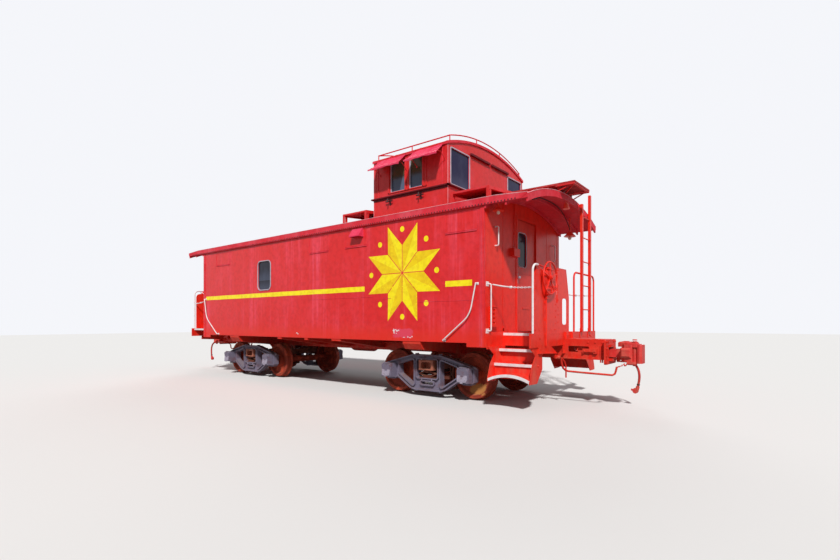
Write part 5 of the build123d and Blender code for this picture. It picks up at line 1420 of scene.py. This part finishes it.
def bowed_height(x):
    """Rise of the lowest tread over its ends."""
    radius = arch_radius(bow_half, bow_rise)
    return math.sqrt(radius ** 2 - (x - bow_middle) ** 2) - (radius - bow_rise)


def put_nosing(bm, at, start, edge, height):
    """Painted band on the front of a nosing and a little of its top."""
    put_block(bm, at(start, edge + nosing_lift, height - nosing_depth),
              at(step_end, edge - nosing_back, height + nosing_lift), 0.001)


@piece("white", "rail_paint", all_corners)
def white_nosings(bm, at):
    """Bands on the platforms' edges and the treads. The steps of the rear near corner are gone."""
    bare = (at.end, at.side) == bare_corner
    put_nosing(bm, at, 4.574, closed_edge if bare else well_edge, floor_top)
    if bare:
        return
    for drop, back in treads:
        put_nosing(bm, at, 4.600, sill_half_width - back, floor_top - drop)
    face = sill_half_width
    inner, outer = face - nosing_back, face + nosing_lift
    sections = []
    for x in spread(4.602, 5.354, 0.05):
        top = floor_top - low_tread_drop + bowed_height(x)
        corners = ((inner, top), (inner, top + nosing_lift), (outer, top + nosing_lift),
                   (outer, top - nosing_depth), (face, top - nosing_depth), (face, top))
        sections.append([at(x, y, height) for y, height in corners])
    skin(bm, sections)


@piece("platform", "platform_paint", all_corners)
def tread_grips(bm, at):
    """Raised ribs across the treads, and across each deck once."""
    ribs = []
    if (at.end, at.side) != bare_corner:
        ribs += [(4.64, sill_half_width - back - step, 0.005, floor_top - drop)
                 for drop, back in treads for step in (0.05, 0.085, 0.12)]
    if at.side == 1:
        ribs += [(4.62, y, 0.006, floor_top) for y in spread(-0.80, 0.80, 0.10)]
    for x, y, half_width, height in ribs:
        put_block(bm, at(x, y - half_width, height), at(5.32, y + half_width, height + 0.004), 0.001)


step_rows = [lone((5.3567, 0.08 + back - sill_half_width, floor_top - drop - 0.02), front_out, bolt)
             for drop, back in treads]
fasteners("step_bolts", "platform", "platform_paint", step_rows, both_sides)
grab_rows = [lone((x_end + 0.008, -1.405, height), front_out, small_bolt) for height in (1.243, 2.004)]
grab_rows += [side_row(-y_side - 0.008, x - 0.02, height, x + 0.02, height, 0.04, small_bolt)
              for x, height in ((4.436, 2.010), (3.772, 1.078))]
fasteners("grab_bolts", "white", "rail_paint", grab_rows, all_corners)
vent_row = side_row(-1.4755, 1.50, 3.232, 1.77, 3.232, 0.09, small_rivet)
fasteners("vent_rivets", "roof", "roof_paint", [vent_row], both_sides)


# Under the floor: train pipe, brake rods and levers, and their hangers

floor_underside = 1.143
pipe_y, pipe_height = -0.250, 0.935
pipe_couplings = (-4.1, -1.8, 0.6, 1.9, 4.1)
coupling_shape = ((0.024, 0.0), (0.030, 0.004), (0.030, 0.066), (0.024, 0.070))
tank_branch = ((-0.30, 0.70, 1.04), (-0.30, 0.40, 1.04), (0.22, 0.40, 1.04), (0.22, 0.53, 0.99))


@piece("frame", "frame_paint", smooth=1.0)
def under_pipes(bm, at):
    """Train pipe with its couplings and hangers, and the branches to the brake's cylinder and tank."""
    put_tube(bm, [at(x, pipe_y, pipe_height) for x in spread(-4.45, 4.45, 1.0)], 0.019, 10)
    for x in pipe_couplings:
        put_lathe(bm, at(x - 0.035, pipe_y, pipe_height), front_out, coupling_shape, 16)
        put_block(bm, at(x + 0.08, pipe_y - 0.015, pipe_height + 0.012),
                  at(x + 0.10, pipe_y + 0.015, floor_underside), 0.002)
    put_tube(bm, [at(0.10, pipe_y, pipe_height), at(0.10, 0.02, pipe_height - 0.002)], 0.014, 8)
    put_tube(bm, [at(*point) for point in tank_branch], 0.012, 8)


lever_low, lever_high, rod_end_height = 0.836, 0.864, 0.800
front_lever, rear_lever = 0.75, -0.97
front_rod_end, rear_rod_end = 1.62, -1.72
lever_pins = ((front_lever, 0.60), (front_lever, 0.42), (front_lever, 0.14), (rear_lever, 0.30),
              (rear_lever, 0.10))
lever_pin_shape = ((0.018, 0.0), (0.018, 0.060), (0.010, 0.064))


@piece("brake", "brake_steel")
def brake_rods(bm, at):
    """Floating levers by the brake cylinder and the rods that run to both trucks."""
    for x, y0, y1 in ((front_lever, 0.10, 0.62), (rear_lever, 0.06, 0.42)):
        put_block(bm, at(x - 0.015, y0, lever_low), at(x + 0.015, y1, lever_high), 0.004)
    for x0, y0, x1, y1, end_height in ((front_lever, 0.42, rear_lever, 0.30, lever_low),
                                       (front_lever, 0.14, front_rod_end, 0.22, rod_end_height),
                                       (rear_lever, 0.10, rear_rod_end, 0.22, rod_end_height)):
        put_tube(bm, [at(x0, y0, lever_low), at(x1, y1, end_height)], 0.014, 8)
    for x in (front_rod_end, rear_rod_end):
        put_block(bm, at(x - 0.02, 0.205, 0.77), at(x + 0.02, 0.235, floor_underside), 0.003)
    for x, y in lever_pins:
        put_lathe(bm, at(x, y, 0.812), top_out, lever_pin_shape, 12)
    put_block(bm, at(rear_lever - 0.015, 0.37, 0.85), at(rear_lever + 0.015, 0.41, floor_underside), 0.003)


fasteners("tank_bolts", "frame", "frame_paint",
          [lone((x, y, 1.04), low_out, bolt) for x in (-0.775, -0.295) for y in (0.49, 0.91)])


# Trucks: journal lids, nuts, rivets and brake hangers, each riding on its own truck

lid_tilt = math.atan2(0.034, 0.261)
lid_out = Vector((0, -math.cos(lid_tilt), math.sin(lid_tilt)))
lid_up = Vector((0, math.sin(lid_tilt), math.cos(lid_tilt)))
lid_ring = rounded_ring(-0.106, 0.106, -0.1165, 0.1165, 0.038)
lid_bolts = ((-0.060, -0.070), (0.060, -0.070), (-0.060, 0.045), (0.060, 0.045))
truck_centre, half_base, axle_height = 3.010, 0.9145, 0.419
frame_face, frame_sunk = -1.035, -0.989
truck_nut = (0.021, 0.024)


def chord_top(x):
    """Height of the side frame's top above the axle beyond its last bend, x from the truck's centre."""
    return 0.196 - 0.431 * (x - 0.945)


def journal_lid(bm, at, x):
    """Raised face of a journal box's lid, with its border, bolts and latch."""
    middle = Vector((x, -1.167, axle_height + 0.0345)) + lid_out * 0.013

    def on_lid(across, rise, lift=0.0):
        x, y, height = middle + lid_up * rise + lid_out * lift
        return at(x + across, y, height)

    skin(bm, [[on_lid(across, rise, lift) for across, rise in lid_ring] for lift in (0.0, 0.0022)])
    put_tube(bm, [on_lid(0.8 * across, 0.8 * rise) for across, rise in lid_ring], 0.006, 6, closed=True)
    for across, rise in lid_bolts:
        put_hex(bm, on_lid(across, rise), at.way(*lid_out), 0.011, 0.009)
    x, y, height = middle - lid_up * 0.118
    put_block(bm, at(x - 0.025, y + 0.010, height - 0.02), at(x + 0.025, y - 0.020, height + 0.012), 0.004)


def truck_details(bm, at, centre):
    """Journal lids, and the nuts and rivets of a truck's side frame."""
    out = at.way(*near_out)
    for way in (-1, 1):
        journal_lid(bm, at, centre + way * half_base)
        for reach in (half_base + 0.150, half_base + 0.120):
            put_hex(bm, at(centre + way * reach, -0.975, axle_height + chord_top(reach)), (way * 0.26, 0, 1),
                    *truck_nut)
        x = centre + way * 0.286
        for y in (-0.945, -0.995):
            put_hex(bm, at(x, y, axle_height + 0.351), top_out, *truck_nut)
            put_hex(bm, at(x, y, axle_height - 0.3235), low_out, *truck_nut)
        for rise in (-0.02, 0.08, 0.18):
            put_hex(bm, at(x, frame_sunk, axle_height + rise), out, 0.008, 0.008)
        for rise in (-0.116, 0.340):
            put_dome(bm, at(centre + way * 0.12, frame_face, axle_height + rise), out, 0.012, 0.008)


def brake_hangers(bm, at, centre):
    """Hanger links from the side frame's arch down to each shoe, and the levers between the beams."""
    for way in (-1, 1):
        x = centre + way * 0.400
        for side in (-1, 1):
            put_tube(bm, [at(x, side * 0.800, 0.36), at(x - way * 0.03, side * 0.800, 0.70),
                          at(x - way * 0.03, side * 0.91, 0.70)], 0.012, 8)
        put_block(bm, at(x - 0.018, -0.018, 0.22), at(x + 0.018, 0.018, 0.47), 0.004)
        put_tube(bm, [at(x, -0.62, 0.359), at(centre + way * 0.30, 0.0, 0.30), at(x, 0.62, 0.359)], 0.011, 8)
    put_tube(bm, [at(centre - 0.40, 0.0, 0.245), at(centre + 0.40, 0.0, 0.245)], 0.013, 8)


for word, centre in (("front", truck_centre), ("rear", -truck_centre)):
    add_piece(f"truck_bolts_{word}", "lid", "truck_casting", lambda bm, at: truck_details(bm, at, centre),
              both_sides, f"truck_{word}")
    add_piece(f"brake_hangers_{word}", "brake", "brake_steel", lambda bm, at: brake_hangers(bm, at, centre),
              once, f"truck_{word}")


# Wheels: two machined beads by the rim and one round the hub, riding on each axle

wheel_face = 0.8215
# Beads: radius, distance from the car's middle, wire and how many points round
beads = ((0.358, wheel_face, 0.005, 64), (0.396, wheel_face, 0.003, 64),
         (0.126, wheel_face + 0.0165, 0.004, 40))


def wheel_beads(bm, at, middle):
    for radius, y, wire, count in beads:
        ring = [at(middle + x, y, axle_height + z) for x, z in circle(radius, count)]
        put_tube(bm, ring, wire, 6, closed=True)


axles = (truck_centre + half_base, truck_centre - half_base, half_base - truck_centre,
         -truck_centre - half_base)
for index, x in enumerate(axles, 1):
    add_piece(f"wheel_beads_{index}", "wheel", "wheel_steel", lambda bm, at: wheel_beads(bm, at, x),
              both_sides, f"axle_{index}")


# Stage, lamps and background

def stage_material():
    """Floor that shows pale and throws little light back."""
    material, w, shader = start_material("stage")
    seen = w.add("ShaderNodeLightPath").outputs["Is Camera Ray"]
    w.fill(shader, Base_Color=w.mix(seen, (0.36, 0.35, 0.34, 1), (0.80, 0.80, 0.80, 1)),
           Specular_IOR_Level=0.0, Roughness=0.9)
    return material


floor_mesh = mesh_of("studio_floor",
                     lambda bm: bmesh.ops.create_grid(bm, x_segments=1, y_segments=1, size=60))
floor_mesh.materials.append(stage_material())
put_in_scene("studio_floor", floor_mesh)

soft_light, shown_light = 0.22, 0.96
world = bpy.data.worlds.new("studio")
bpy.context.scene.world = world
world.use_nodes = True
w = Wiring(world.node_tree)
seen = w.add("ShaderNodeLightPath").outputs
shown = w.plus(seen["Is Camera Ray"], seen["Is Glossy Ray"], seen["Is Transmission Ray"], clamp=True)
w.fill(world.node_tree.nodes["Background"], Color=(0.95, 0.96, 1.0, 1),
       Strength=w.plus(w.times(shown, shown_light - soft_light), soft_light))


def sun(name, direction, strength, spread_angle, warmth):
    """Distant lamp that shines from a direction."""
    data = bpy.data.lights.new(name, "SUN")
    data.energy = strength
    data.angle = spread_angle
    data.color = warmth
    lamp = put_in_scene(name, data)
    lamp.rotation_mode = "QUATERNION"
    lamp.rotation_quaternion = Vector(direction).to_track_quat("Z", "Y")


sun("key_lamp", (0.474, -0.581, 0.662), 3.6, 0.06, (1.0, 0.98, 0.95))
sun("back_lamp", (-0.5, 0.65, 0.55), 0.6, 0.5, (1.0, 1.0, 1.0))

bpy.context.scene.view_settings.view_transform = "Standard"
